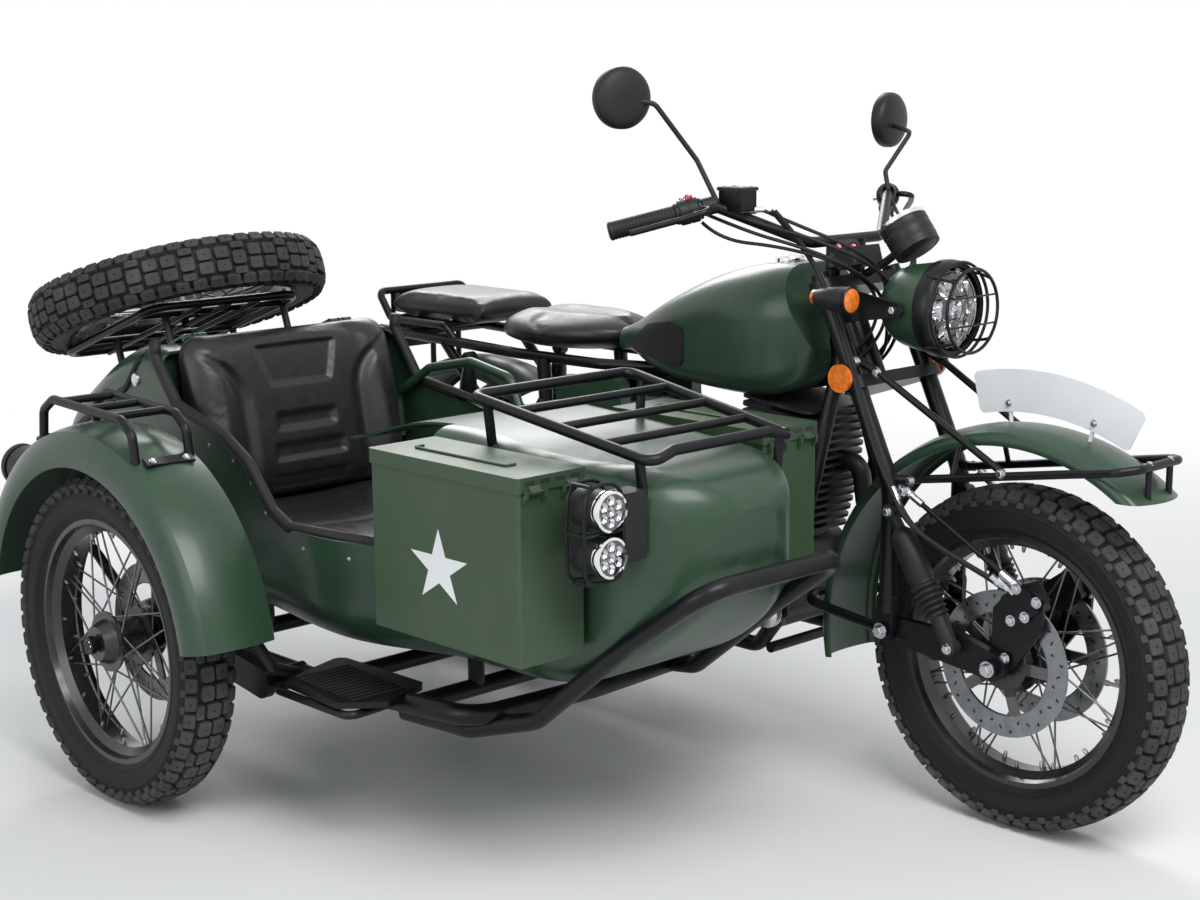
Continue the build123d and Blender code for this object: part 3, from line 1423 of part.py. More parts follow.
with BuildPart() as fender_stays:
    tube(
        [
            bike(-205, -92, 655),
            bike(240, -92, 731),
            bike(268, -64, 736),
            bike(268, 64, 736),
            bike(240, 92, 731),
            bike(-205, 92, 655),
        ],
        8,
        24,
    )
    for side in (-1, 1):
        rod(bike(-322, side * 105, 872), bike(-279, side * 102, 855), 9)
        rod(bike(-279, side * 102, 855), bike(4, side * 92, 697), 7)
        rod(bike(268, side * 34, 670), bike(268, side * 34, 736), 6)
        rod(bike(-240, side * 110, 655), bike(-198, side * 91, 655), 9)
        rod(bike(-110, side * 92, 671), bike(-110, side * 72, 728), 5)
    add(fork.part, mode=Mode.SUBTRACT)
    add(front_fender_fill, mode=Mode.SUBTRACT)
    add(leading_arms.part, mode=Mode.SUBTRACT)
fender_stays.part.label = "fender_stays"
export_step(fender_stays.part, "parts/fender_stays.step")

PLATE_RADII = (466, 546)
PLATE_ANGLES = (64, 104)
with BuildPart() as number_plate:
    with BuildSketch(BIKE_SIDE.offset(-1)) as plate_outline:
        with BuildLine():
            corners = [
                (r * cos(radians(a)), TYRE_RADIUS + r * sin(radians(a))) for r in PLATE_RADII for a in PLATE_ANGLES
            ]
            middle = [
                (r * cos(radians(sum(PLATE_ANGLES) / 2)), TYRE_RADIUS + r * sin(radians(sum(PLATE_ANGLES) / 2)))
                for r in PLATE_RADII
            ]
            ThreePointArc(corners[0], middle[0], corners[1])
            Line(corners[1], corners[3])
            ThreePointArc(corners[3], middle[1], corners[2])
            Line(corners[2], corners[0])
        make_face()
        fillet(plate_outline.vertices(), 12)
    extrude(amount=2)
    for angle in (74, 96):
        foot = bike(440 * cos(radians(angle)), 4, TYRE_RADIUS + 440 * sin(radians(angle)))
        rod(foot, foot + Vector(48 * cos(radians(angle)), 0, 48 * sin(radians(angle))), 4)
    add(front_fender_fill, mode=Mode.SUBTRACT)
number_plate.part.label = "number_plate"
export_step(number_plate.part, "parts/number_plate.step")

LAMP_Z = 974
with BuildPart() as lamp_form:
    with BuildSketch(Plane.XY):
        with BuildLine():
            shell_back = CenterArc((-254, 0), 82, 90, 90)
            lens_front = CenterArc((-336, 0), 178, 0, 27)
            Polyline(shell_back @ 0, (-212, 87), (-208, 92), (-180, 92), lens_front @ 1)
            Line(lens_front @ 0, shell_back @ 1)
        make_face()
    revolve(axis=Axis.X)
with BuildPart() as headlight:
    add(lamp_form.part.moved(Location(bike(0, 0, LAMP_Z))))
    for side in (-1, 1):
        side_plate(
            BIKE_SIDE.offset(-side * 92),
            [(-396, 990), (-372, 940), (-330, 948), (-238, 960), (-238, 992), (-330, 1004)],
            -side * 5,
        )
        rod(bike(-250, side * 70, 976), bike(-250, side * 97, 976), 8)
    with BuildSketch(cross_plane(-108, BIKE_Y)):
        with Locations((0, LAMP_Z)):
            Circle(56)
            Circle(51, mode=Mode.SUBTRACT)
    extrude(amount=5)
    for angle in (30, 90, 150, 210, 270, 330):
        across, up = cos(radians(angle)), sin(radians(angle))
        rod(bike(-190, 88 * across, LAMP_Z + 88 * up), bike(-105, 53 * across, LAMP_Z + 53 * up), 2.5)
    add(fork.part, mode=Mode.SUBTRACT)
headlight.part.label = "headlight"
export_step(headlight.part, "parts/headlight.step")

BAR_RADIUS = 11
GRIP_END, GRIP_ROOT = (-675, 420, 1122), (-555, 270, 1168)
with BuildPart() as handlebar:
    route = [
        bike(GRIP_END[0], -GRIP_END[1], GRIP_END[2]),
        bike(GRIP_ROOT[0], -GRIP_ROOT[1], GRIP_ROOT[2]),
        bike(-445, -110, 1092),
        bike(-445, 110, 1092),
        bike(GRIP_ROOT[0], GRIP_ROOT[1], GRIP_ROOT[2]),
        bike(GRIP_END[0], GRIP_END[1], GRIP_END[2]),
    ]
    tube(route, BAR_RADIUS, 40)
    for side in (-1, 1):
        grip_end = Vector(GRIP_END[0], side * GRIP_END[1], GRIP_END[2])
        grip_root = Vector(GRIP_ROOT[0], side * GRIP_ROOT[1], GRIP_ROOT[2])
        inward = (grip_root - grip_end).normalized()
        grip_start = grip_end - inward * 6
        rod(bike(*grip_start), bike(*(grip_start + inward * 128)), 17)
        rod(bike(*(grip_end + inward * 128)), bike(*(grip_end + inward * 176)), 21)
        rod(steer_point(6, side * 38, YOKE_HIGH + YOKE_THICKNESS - 4), bike(-445, side * 38, 1092), 15)
        lever_start = grip_end + inward * 168
        tube(
            [
                bike(*lever_start),
                bike(*(lever_start + Vector(58, side * 8, 4))),
                bike(*(grip_end + inward * 96 + Vector(58, side * 6, 0))),
                bike(*(grip_end + inward * 6 + Vector(46, side * 6, -4))),
            ],
            6,
            16,
        )
    with BuildSketch(Plane(origin=bike(-524, -232, 1156))):
        Rectangle(58, 44)
    extrude(amount=40)
    add(fork.part, mode=Mode.SUBTRACT)
handlebar.part.label = "handlebar"
export_step(handlebar.part, "parts/handlebar.step")

MIRROR_RADIUS = 56
MIRROR_STEMS = (
    [(-548, -262, 1172), (-586, -280, 1253), (-629, -350, 1360), (-663, -390, 1371)],
    [(-548, 262, 1172), (-568, 275, 1211), (-560, 350, 1290), (-656, 404, 1303)],
)
MIRROR_HEADS = (((-669, -398, 1372), (0.96, -0.27, 0)), ((-662, 408, 1313), (0.99, 0.14, 0)))

with BuildPart() as mirrors:
    for stem, (middle, forward) in zip(MIRROR_STEMS, MIRROR_HEADS):
        tube([bike(*point) for point in stem], 5, 22)
        mirror_plane = Plane(origin=bike(*middle), z_dir=forward)
        with BuildSketch(mirror_plane.offset(-12)):
            Circle(MIRROR_RADIUS)
        extrude(amount=20)
    add(handlebar.part, mode=Mode.SUBTRACT)
mirrors.part.label = "mirrors"
export_step(mirrors.part, "parts/mirrors.step")

with BuildPart() as instruments:
    pod_plane = Plane(origin=bike(-268, 0, 1082), z_dir=(-0.62, 0, 0.78))
    with BuildSketch(pod_plane):
        Circle(46)
    extrude(amount=62)
    tube([bike(-292, 0, 1092), bike(-350, 0, 1050), steer_point(30, 0, YOKE_HIGH + YOKE_THICKNESS - 2)], 8, 20)
    with BuildSketch(Plane(origin=bike(-392, -20, 1044), z_dir=(-0.3, 0, 0.95))):
        RectangleRounded(52, 92, 10)
    extrude(amount=36)
    rod(bike(-396, -20, 1062), steer_point(50, -20, YOKE_HIGH + YOKE_THICKNESS - 6), 8)
    add(handlebar.part, mode=Mode.SUBTRACT)
    add(fork.part, mode=Mode.SUBTRACT)
    add(headlight.part, mode=Mode.SUBTRACT)
instruments.part.label = "instruments"
export_step(instruments.part, "parts/instruments.step")

with BuildPart() as front_indicators:
    for side in (-1, 1):
        rod(bike(-400, side * 118, 992), bike(-368, side * 168, 996), 7)
        with BuildSketch(cross_plane(-384, BIKE_Y)):
            with Locations((side * 168, 996)):
                Circle(14)
        with BuildSketch(cross_plane(-318, BIKE_Y)):
            with Locations((side * 168, 996)):
                Circle(24)
        loft()
        with BuildSketch(cross_plane(-318, BIKE_Y)):
            with Locations((side * 168, 996)):
                Circle(24)
        extrude(amount=22)
        rod(bike(-334, side * 118, 842), bike(-334, side * 150, 842), 7)
        rod(bike(-334, side * 144, 842), bike(-334, side * 152, 842), 27)
    add(fork.part, mode=Mode.SUBTRACT)
front_indicators.part.label = "front_indicators"
export_step(front_indicators.part, "parts/front_indicators.step")
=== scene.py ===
"""Sidecar motorcycle: finishes, tyres, seats, lamps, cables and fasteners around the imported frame.

Places are given in millimetres ahead of the front axle, to the left of a middle plane and above the
ground, by the functions bike() and car(). Everything that is built is in metres.
"""

import json
import logging
from collections.abc import Callable, Iterable, Sequence
from dataclasses import asdict, dataclass
from enum import Enum
from math import cos, pi, radians, sin, tau

import bmesh
import bpy
from mathutils import Matrix, Vector


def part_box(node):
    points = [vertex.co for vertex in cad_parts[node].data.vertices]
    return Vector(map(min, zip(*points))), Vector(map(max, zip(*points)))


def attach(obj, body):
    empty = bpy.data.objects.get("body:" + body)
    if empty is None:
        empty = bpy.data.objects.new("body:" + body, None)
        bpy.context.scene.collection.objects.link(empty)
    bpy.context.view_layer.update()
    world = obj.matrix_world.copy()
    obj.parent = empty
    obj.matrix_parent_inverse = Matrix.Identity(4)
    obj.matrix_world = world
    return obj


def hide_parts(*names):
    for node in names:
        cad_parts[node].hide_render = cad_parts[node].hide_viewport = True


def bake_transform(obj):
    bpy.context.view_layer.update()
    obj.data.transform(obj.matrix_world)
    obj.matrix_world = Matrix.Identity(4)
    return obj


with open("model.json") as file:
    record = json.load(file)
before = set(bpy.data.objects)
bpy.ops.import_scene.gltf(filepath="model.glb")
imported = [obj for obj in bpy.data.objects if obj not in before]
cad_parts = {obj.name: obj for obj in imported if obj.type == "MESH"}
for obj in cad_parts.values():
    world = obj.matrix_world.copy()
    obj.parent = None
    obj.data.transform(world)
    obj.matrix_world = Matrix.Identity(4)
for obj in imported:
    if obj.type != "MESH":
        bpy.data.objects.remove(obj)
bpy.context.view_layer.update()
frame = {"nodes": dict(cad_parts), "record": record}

log = logging.getLogger("sidecar_motorcycle")

Piece = bpy.types.Object
Material = bpy.types.Material
Socket = bpy.types.NodeSocket
Triple = tuple[float, float, float]
Color = Triple
Profile = Sequence[tuple[float, float]]
Faces = list[tuple[int, ...]]
Spots = list[tuple[Vector, Sequence[float]]]
MM = 0.001
CREASE = radians(35)
MERGE = 1e-6


class Body(str, Enum):
    """The bodies that pieces ride on."""

    MACHINE = "machine"
    STEERING = "steering"
    FRONT_WHEEL = "front_wheel"
    REAR_WHEEL = "rear_wheel"
    SIDECAR_WHEEL = "sidecar_wheel"
    RIGHT_LID = "box_lid_right"
    LEFT_LID = "box_lid_left"
    TRUNK_LID = "trunk_lid"


# ---- Places ----


def middle(node: str) -> Vector:
    """Middle of a CAD node's box, in metres."""
    low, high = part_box(node)
    return (low + high) / 2


FRONT_AXLE = middle("front_tyre")
SIDECAR_MIDDLE = middle("sidecar_body")
SPARE_SLOPE = radians(19.5)


def bike(ahead: float, left: float, up: float) -> Vector:
    """Point in metres, from millimetres measured on the motorcycle."""
    return Vector((FRONT_AXLE.x + ahead * MM, FRONT_AXLE.y + left * MM, up * MM))


def car(ahead: float, left: float, up: float) -> Vector:
    """Point in metres, from millimetres measured on the sidecar."""
    return Vector((FRONT_AXLE.x + ahead * MM, SIDECAR_MIDDLE.y + left * MM, up * MM))


def facing(origin: Vector, direction: Sequence[float], sideways: Sequence[float] = (0, 0, 1)) -> Matrix:
    """Place whose Z axis points along a direction.

    Args:
        origin: The place's origin.
        direction: Where its Z axis points.
        sideways: Roughly where its X axis points.

    Returns:
        The 4 by 4 matrix of the place.
    """
    z_axis = Vector(direction).normalized()
    hint = Vector(sideways)
    if abs(hint.normalized().dot(z_axis)) > 0.99:
        hint = Vector((1, 0, 0))
    x_axis = (hint - z_axis * hint.dot(z_axis)).normalized()
    y_axis = z_axis.cross(x_axis)
    turned = Matrix((x_axis, y_axis, z_axis)).transposed().to_4x4()
    return Matrix.Translation(origin) @ turned


def on_surface(node: str, start: Vector, direction: Sequence[float]) -> tuple[Vector, Vector]:
    """Where a ray first meets a CAD node.

    Args:
        node: The CAD node's name.
        start: Where the ray starts.
        direction: Where it goes.

    Returns:
        The point and the outward normal there, or the start and the reversed ray where it misses.
    """
    aim = Vector(direction).normalized()
    hit, point, normal, _ = frame["nodes"][node].ray_cast(start, aim)
    if not hit:
        log.info("no surface of %s at %s", node, tuple(round(v, 3) for v in start))
        return start, -aim
    return point, normal if normal.dot(aim) < 0 else -normal


# ---- Shaders ----


Term = "Value | float"


class Value:
    """A number or vector in a shader, which Python operators turn into Math nodes."""

    def __init__(self, shader: "Shader", socket: Socket) -> None:
        """Wraps one output socket of a shader."""
        self.shader = shader
        self.socket = socket

    def __add__(self, other: Term) -> "Value":
        """Sum."""
        return self.shader.math("ADD", self, other)

    __radd__ = __add__

    def __sub__(self, other: Term) -> "Value":
        """Difference."""
        return self.shader.math("SUBTRACT", self, other)

    def __rsub__(self, other: Term) -> "Value":
        """Difference the other way round."""
        return self.shader.math("SUBTRACT", other, self)

    def __mul__(self, other: Term) -> "Value":
        """Product."""
        return self.shader.math("MULTIPLY", self, other)

    __rmul__ = __mul__

    def __truediv__(self, other: Term) -> "Value":
        """Quotient."""
        return self.shader.math("DIVIDE", self, other)

    def __pow__(self, other: Term) -> "Value":
        """Power."""
        return self.shader.math("POWER", self, other)

    def __lt__(self, other: Term) -> "Value":
        """1 where this is less than the other."""
        return self.shader.math("LESS_THAN", self, other)

    def __gt__(self, other: Term) -> "Value":
        """1 where this is more than the other."""
        return self.shader.math("GREATER_THAN", self, other)


class Nodes:
    """A node tree to which nodes are added with their links."""

    def __init__(self, tree: bpy.types.NodeTree) -> None:
        """Wraps a tree, without the nodes that it came with."""
        self.tree = tree
        self.tree.nodes.clear()

    def node(self, kind: str, settings: dict[str, object], values: dict[object, object]) -> bpy.types.Node:
        """Adds a node.

        Args:
            kind: The node's type.
            settings: Its properties, set first.
            values: Its sockets by name or number, each with a constant, or a Value or socket to link.

        Returns:
            The node.
        """
        made = self.tree.nodes.new(kind)
        for key, setting in settings.items():
            setattr(made, key, setting)
        for key, value in values.items():
            self.feed(made.inputs[key], value)
        return made

    def feed(self, target: Socket, value: object) -> None:
        """Links a Value or a socket to a socket, or sets a constant there.

        Args:
            target: The socket that is fed.
            value: What feeds it.
        """
        source = value.socket if isinstance(value, Value) else value
        if isinstance(source, Socket):
            self.tree.links.new(source, target)
        elif isinstance(value, tuple) and len(value) == 3 and target.type == "RGBA":
            target.default_value = (*value, 1.0)
        else:
            target.default_value = value


class Shader(Nodes):
    """One material with a Principled surface, and the nodes that feed it."""

    def __init__(self, name: str, constants: dict[str, object]) -> None:
        """Makes the material.

        Args:
            name: The material's name.
            constants: Values of the surface's own sockets.
        """
        self.material = bpy.data.materials.new(name)
        self.material.use_nodes = True
        super().__init__(self.material.node_tree)
        self.surface = self.node("ShaderNodeBsdfPrincipled", {}, constants)
        self.node("ShaderNodeOutputMaterial", {}, {"Surface": self.surface.outputs["BSDF"]})

    def math(self, operation: str, *terms: Term) -> Value:
        """Result of a Math node."""
        made = self.node("ShaderNodeMath", {"operation": operation}, dict(enumerate(terms)))
        return Value(self, made.outputs[0])

    def vector(self, operation: str, *terms: object, result: str = "Vector") -> Value:
        """Result of a Vector Math node."""
        made = self.node("ShaderNodeVectorMath", {"operation": operation}, dict(enumerate(terms)))
        return Value(self, made.outputs[result])

    def position(self) -> Value:
        """The object's own coordinates, which here are metres in the frame."""
        return Value(self, self.node("ShaderNodeTexCoord", {}, {}).outputs["Object"])

    def noise(self, scale: float, detail: float = 2.0, stretch: Triple = (1, 1, 1)) -> Value:
        """Noise from 0 to 1, of so many waves a metre."""
        place = self.vector("MULTIPLY", self.position(), stretch)
        values = {"Vector": place, "Scale": scale, "Detail": detail}
        return Value(self, self.node("ShaderNodeTexNoise", {}, values).outputs[0])

    def cells(self, scale: float, feature: str = "F1") -> Value:
        """Distance in Voronoi cells, of so many cells a metre."""
        values = {"Vector": self.position(), "Scale": scale}
        made = self.node("ShaderNodeTexVoronoi", {"feature": feature}, values)
        return Value(self, made.outputs["Distance"])

    def spread(self, value: Value, low: float, high: float, start: float = 0.0, end: float = 1.0) -> Value:
        """A value's stretch from low to high, mapped to start and end and held there."""
        made = self.node("ShaderNodeMapRange", {"clamp": True}, {0: value, 1: low, 2: high, 3: start, 4: end})
        return Value(self, made.outputs[0])

    def blend(self, factor: Term, first: object, second: object) -> Value:
        """A colour between two colours."""
        made = self.node("ShaderNodeMix", {"data_type": "RGBA"}, {0: factor, 6: first, 7: second})
        return Value(self, made.outputs[2])

    def bump(self, height: Value, distance: float, strength: float = 1.0) -> Value:
        """A normal bent by a height."""
        values = {"Height": height, "Distance": distance, "Strength": strength}
        return Value(self, self.node("ShaderNodeBump", {}, values).outputs["Normal"])

    def dress(self, **inputs: Value) -> Material:
        """Feeds the surface's sockets, written with underscores, and returns the material."""
        for key, value in inputs.items():
            self.feed(self.surface.inputs[key.replace("_", " ").title()], value)
        return self.material


def shade(color: Color, factor: float) -> Color:
    """A colour made lighter or darker by a factor."""
    return tuple(min(1.0, part * factor) for part in color)


@dataclass(frozen=True)
class Finish:
    """A surface finish. Each kind builds its own material once."""

    name: str
    color: Color
    roughness: float = 0.5

    def build(self) -> Material:
        """Builds the material."""
        raise NotImplementedError

    def material(self) -> Material:
        """The finish's material, built at its first use."""
        return bpy.data.materials.get(self.name) or self.build()


@dataclass(frozen=True)
class Paint(Finish):
    """Sprayed satin paint or powder coat, with a thin film of dust in patches."""

    grain: float = 900.0
    relief: float = 0.00004
    dust: Color = (0.20, 0.19, 0.16)
    dust_share: float = 0.10
    gloss: float = 0.5
    coat: float = 0.12

    def build(self) -> Material:
        """Builds the material."""
        shader = Shader(
            self.name, {"Coat Roughness": 0.16, "Coat Weight": self.coat, "Specular IOR Level": self.gloss}
        )
        cloud = shader.noise(5.0, 4.0)
        speck = shader.noise(self.grain, 2.0)
        tone = shader.blend(cloud, shade(self.color, 0.86), shade(self.color, 1.16))
        patches = shader.spread(shader.noise(14.0, 6.0), 0.52, 0.74)
        worn = shader.blend(patches * self.dust_share, tone, self.dust)
        rough = shader.spread(
            cloud * 0.6 + speck * 0.4, 0.3, 0.7, self.roughness - 0.06, self.roughness + 0.07
        )
        return shader.dress(
            base_color=worn, roughness=rough + patches * 0.06, normal=shader.bump(speck, self.relief)
        )


@dataclass(frozen=True)
class Metal(Finish):
    """Bare or plated metal with fine scratches."""

    scratches: float = 260.0

    def build(self) -> Material:
        """Builds the material."""
        shader = Shader(self.name, {"Metallic": 1.0})
        cloud = shader.noise(60.0, 4.0)
        lines = shader.noise(self.scratches, 3.0, (1.0, 0.15, 1.0))
        tone = shader.blend(cloud, shade(self.color, 0.8), shade(self.color, 1.12))
        rough = shader.spread(lines, 0.3, 0.7, self.roughness * 0.75, self.roughness * 1.3)
        return shader.dress(base_color=tone, roughness=rough, normal=shader.bump(lines, 0.00002))


@dataclass(frozen=True)
class Rubber(Finish):
    """Moulded rubber or plastic, with a fine matt grain and pale dust in places."""

    dust: Color = (0.12, 0.105, 0.085)
    dust_share: float = 0.25
    grain: float = 700.0
    gloss: float = 0.24

    def build(self) -> Material:
        """Builds the material."""
        shader = Shader(self.name, {"Specular IOR Level": self.gloss})
        patches = shader.spread(shader.noise(11.0, 6.0), 0.45, 0.72)
        fine = shader.noise(self.grain, 3.0)
        tone = shader.blend(fine, shade(self.color, 0.8), shade(self.color, 1.25))
        worn = shader.blend(patches * fine * self.dust_share, tone, self.dust)
        rough = shader.spread(patches, 0.0, 1.0, self.roughness, min(0.95, self.roughness + 0.14))
        return shader.dress(base_color=worn, roughness=rough, normal=shader.bump(fine, 0.00008))


@dataclass(frozen=True)
class Leather(Finish):
    """Black upholstery vinyl with a pebbled grain."""

    pebbles: float = 420.0

    def build(self) -> Material:
        """Builds the material."""
        shader = Shader(self.name, {"Sheen Weight": 0.02, "Specular IOR Level": 0.42})
        pebble = shader.spread(shader.cells(self.pebbles, "SMOOTH_F1"), 0.05, 0.7)
        crease = shader.noise(38.0, 5.0)
        tone = shader.blend(crease, shade(self.color, 0.8), shade(self.color, 1.35))
        rough = shader.spread(crease, 0.3, 0.7, self.roughness - 0.05, self.roughness + 0.08)
        height = (1 - pebble) * 0.6 + crease * 0.4
        return shader.dress(base_color=tone, roughness=rough, normal=shader.bump(height, 0.0004, 0.7))


@dataclass(frozen=True)
class WheelPaint(Finish):
    """A spoked wheel: gloss rim and hub, bare steel spokes and a drilled brake disc.

    The holes, painted as near-black spots of shade rather than cut through, lie in rows that wave once for
    every three of them round the disc.
    """

    centre: Triple = (0, 0, 0)
    axis: Triple = (0, 1, 0)
    disc: bool = True
    spoke_reach: tuple[float, float] = (0.0635, 0.2125)
    disc_reach: tuple[float, float] = (0.100, 0.1415)
    disc_side: float = 0.0615
    hole_count: int = 36
    hole_row: float = 0.1215
    hole_wave: float = 0.009
    hole_radius: float = 0.0034

    def build(self) -> Material:
        """Builds the material."""
        shader = Shader(self.name, {"Coat Roughness": 0.2})
        arm = shader.vector("SUBTRACT", shader.position(), self.centre)
        along = shader.vector("DOT_PRODUCT", arm, self.axis, result="Value")
        reach = shader.vector("LENGTH", arm, result="Value")
        radius = (reach * reach - along * along) ** 0.5
        axle, hint = Vector(self.axis), (0, 1, 0) if abs(self.axis[1]) < 0.5 else (1, 0, 0)
        side = axle.cross(Vector(hint)).normalized()
        other = axle.cross(side)
        first = shader.vector("DOT_PRODUCT", arm, tuple(side), result="Value")
        second = shader.vector("DOT_PRODUCT", arm, tuple(other), result="Value")
        angle = shader.math("ARCTAN2", first, second)
        spokes = (radius > self.spoke_reach[0]) * (radius < self.spoke_reach[1])
        offset = shader.math("ABSOLUTE", along)
        disc = (radius > self.disc_reach[0]) * (radius < self.disc_reach[1])
        disc = disc * (offset > self.disc_side) * float(self.disc)
        turn = shader.math("FRACT", angle * (self.hole_count / tau) + (self.hole_count + 0.5)) - 0.5
        row = shader.math("SINE", angle * (self.hole_count / 3)) * self.hole_wave + self.hole_row
        pitch = self.hole_row * tau / self.hole_count
        away = ((turn * pitch) ** 2.0 + (radius - row) ** 2.0) ** 0.5
        holes = disc * (away < self.hole_radius)
        cloud = shader.noise(45.0, 4.0)
        painted = shader.blend(cloud, shade(self.color, 0.8), shade(self.color, 1.3))
        steel = shader.blend(cloud, (0.10, 0.10, 0.105), (0.20, 0.20, 0.21))
        ground = shader.blend(cloud, (0.20, 0.21, 0.22), (0.33, 0.34, 0.35))
        tone = shader.blend(disc, shader.blend(spokes, painted, steel), ground)
        # Drilled holes: painted shade, near-black spots where the disc would be open
        tone = shader.blend(holes, tone, (0.004, 0.004, 0.004))
        bare = shader.math("MAXIMUM", disc, spokes) * (1 - holes)
        rough = shader.spread(cloud, 0.3, 0.7, self.roughness - 0.06, self.roughness + 0.06)
        return shader.dress(
            base_color=tone, metallic=bare * 0.9, roughness=rough, coat_weight=(1 - bare) * 0.3
        )


@dataclass(frozen=True)
class Lens(Finish):
    """Coloured or clear lamp plastic."""

    clear: float = 0.0
    facets: float = 90.0

    def build(self) -> Material:
        """Builds the material."""
        shader = Shader(self.name, {"Transmission Weight": self.clear, "IOR": 1.45, "Coat Weight": 0.5})
        facet = shader.cells(self.facets)
        tone = shader.blend(shader.spread(facet, 0.1, 0.8), shade(self.color, 1.15), shade(self.color, 0.75))
        rough = shader.spread(facet, 0.0, 1.0, self.roughness, self.roughness + 0.04)
        return shader.dress(base_color=tone, roughness=rough, normal=shader.bump(facet, 0.0003, 0.5))


@dataclass(frozen=True)
class Floor(Finish):
    """Pale studio floor that keeps the object's shadow and fades out round it."""

    near: float = 1.9
    far: float = 4.2

    def build(self) -> Material:
        """Builds the material."""
        shader = Shader(self.name, {"Roughness": self.roughness, "Specular IOR Level": 0.2})
        tone = shader.blend(shader.noise(1.2, 3.0), shade(self.color, 0.98), self.color)
        away = shader.vector("LENGTH", shader.position(), result="Value")
        return shader.dress(base_color=tone, alpha=shader.spread(away, self.near, self.far, 1.0, 0.0))


OLIVE = Paint("olive paint", (0.022, 0.054, 0.029), 0.34, dust_share=0.05, gloss=0.35, coat=0.18)
BOX_OLIVE = Paint("box paint", (0.038, 0.070, 0.036), 0.44, dust_share=0.06, gloss=0.35, coat=0.05)
BLACK = Paint(
    "black powder coat", (0.005, 0.0055, 0.0065), 0.33, grain=1500.0, relief=0.00006, dust_share=0.03,
    gloss=0.24, coat=0.02,
)
EXHAUST = Paint("heat proof black", (0.012, 0.0115, 0.0115), 0.55, grain=1200.0, dust_share=0.1, gloss=0.35)
PLASTIC = Rubber("black plastic", (0.016, 0.016, 0.017), 0.42, dust_share=0.1)
TYRE = Rubber("tyre rubber", (0.008, 0.008, 0.009), 0.60, dust_share=0.15)
# Tread blocks: a lighter copy of the tyre rubber, partly dust and partly painted light on the lit block tops
TREAD = Rubber("tread rubber", (0.036, 0.038, 0.041), 0.68, dust=(0.16, 0.15, 0.135), dust_share=0.7)
RUBBER = Rubber("black rubber", (0.014, 0.014, 0.015), 0.5, dust_share=0.12)
VINYL = Leather("seat vinyl", (0.013, 0.0125, 0.013), 0.36)
CAST = Paint(
    "cast alloy, black", (0.014, 0.014, 0.015), 0.5, grain=420.0, relief=0.00025, dust_share=0.15, gloss=0.4
)
ZINC = Metal("zinc plate", (0.62, 0.63, 0.66), 0.26)
CHROME = Metal("chrome plate", (0.82, 0.83, 0.85), 0.06)
DARK_STEEL = Metal("dark steel", (0.30, 0.30, 0.31), 0.35)
MIRROR = Metal("mirror glass", (0.90, 0.91, 0.92), 0.02)
WHITE = Paint("white enamel", (0.78, 0.80, 0.82), 0.38, dust_share=0.06)
RED = Lens("red lens", (0.50, 0.012, 0.010), 0.14)
ORANGE = Lens("orange lens", (0.85, 0.20, 0.015), 0.14)
GLASS = Lens("clear lens", (0.97, 0.98, 1.0), 0.03, clear=1.0, facets=60.0)
# Near-black paint for the hinge slots: painted shade inside the slots
SLOT_SHADE = Paint("painted slot shade", (0.02, 0.02, 0.022), 0.5)


class Slot(str, Enum):
    """The record's material slots."""

    OLIVE = "olive_paint"
    BOX = "box_paint"
    BLACK = "black_paint"
    TYRE = "tyre"
    CHROME = "chrome"
    CAST = "cast_alloy"
    EXHAUST = "exhaust"
    LEATHER = "leather"
    RUBBER = "rubber"
    WHITE = "plate_white"
    ORANGE = "orange_lens"
    PLASTIC = "black_plastic"


NODE_FINISH: dict[Slot, Finish] = {
    Slot.OLIVE: OLIVE,
    Slot.BOX: BOX_OLIVE,
    Slot.BLACK: BLACK,
    Slot.TYRE: TYRE,
    Slot.CHROME: CHROME,
    Slot.CAST: CAST,
    Slot.EXHAUST: EXHAUST,
    Slot.LEATHER: VINYL,
    Slot.RUBBER: RUBBER,
    Slot.WHITE: WHITE,
    Slot.ORANGE: ORANGE,
    Slot.PLASTIC: PLASTIC,
}
SLOT_OF: dict[Finish, Slot] = {finish: slot for slot, finish in NODE_FINISH.items()}
SLOT_OF |= {finish: Slot.CHROME for finish in (ZINC, DARK_STEEL, MIRROR, GLASS)} | {RED: Slot.ORANGE}


def dress_nodes() -> None:
    """Gives every CAD node the finish of its material slot."""
    for part in frame["record"]["subparts"]:
        node = frame["nodes"][part["node"]]
        finish = NODE_FINISH[Slot(part["material_slot"])]
        repaint(node, finish)


def repaint(piece: Piece, finish: Finish) -> None:
    """Puts one finish on all of a piece's material slots."""
    if not piece.material_slots:
        piece.data.materials.append(finish.material())
    for slot in piece.material_slots:
        slot.material = finish.material()


# ---- Mesh helpers ----


def mesh_object(
    name: str,
    points: Iterable[Sequence[float]],
    faces: Iterable[Sequence[int]],
    place: Matrix | None = None,
    smooth: bool = True,
) -> Piece:
    """Makes a mesh object with merged doubles and outward faces.

    Args:
        name: The piece's name.
        points: Vertices, in the place's own coordinates.
        faces: Faces as vertex numbers.
        place: Where the shape goes.
        smooth: Whether the faces are shaded smooth up to a crease of 35 degrees.

    Returns:
        The object, at the origin.
    """
    mesh = bpy.data.meshes.new(name)
    mesh.from_pydata([tuple(point) for point in points], [], [tuple(face) for face in faces])
    if place is not None:
        mesh.transform(place)
    tidy = bmesh.new()
    tidy.from_mesh(mesh)
    bmesh.ops.remove_doubles(tidy, verts=tidy.verts, dist=MERGE)
    bmesh.ops.recalc_face_normals(tidy, faces=tidy.faces)
    if smooth:
        for face in tidy.faces:
            face.smooth = True
        for edge in tidy.edges:
            if len(edge.link_faces) == 2 and edge.calc_face_angle(0) > CREASE:
                edge.smooth = False
    tidy.to_mesh(mesh)
    tidy.free()
    made = bpy.data.objects.new(name, mesh)
    bpy.context.scene.collection.objects.link(made)
    return made


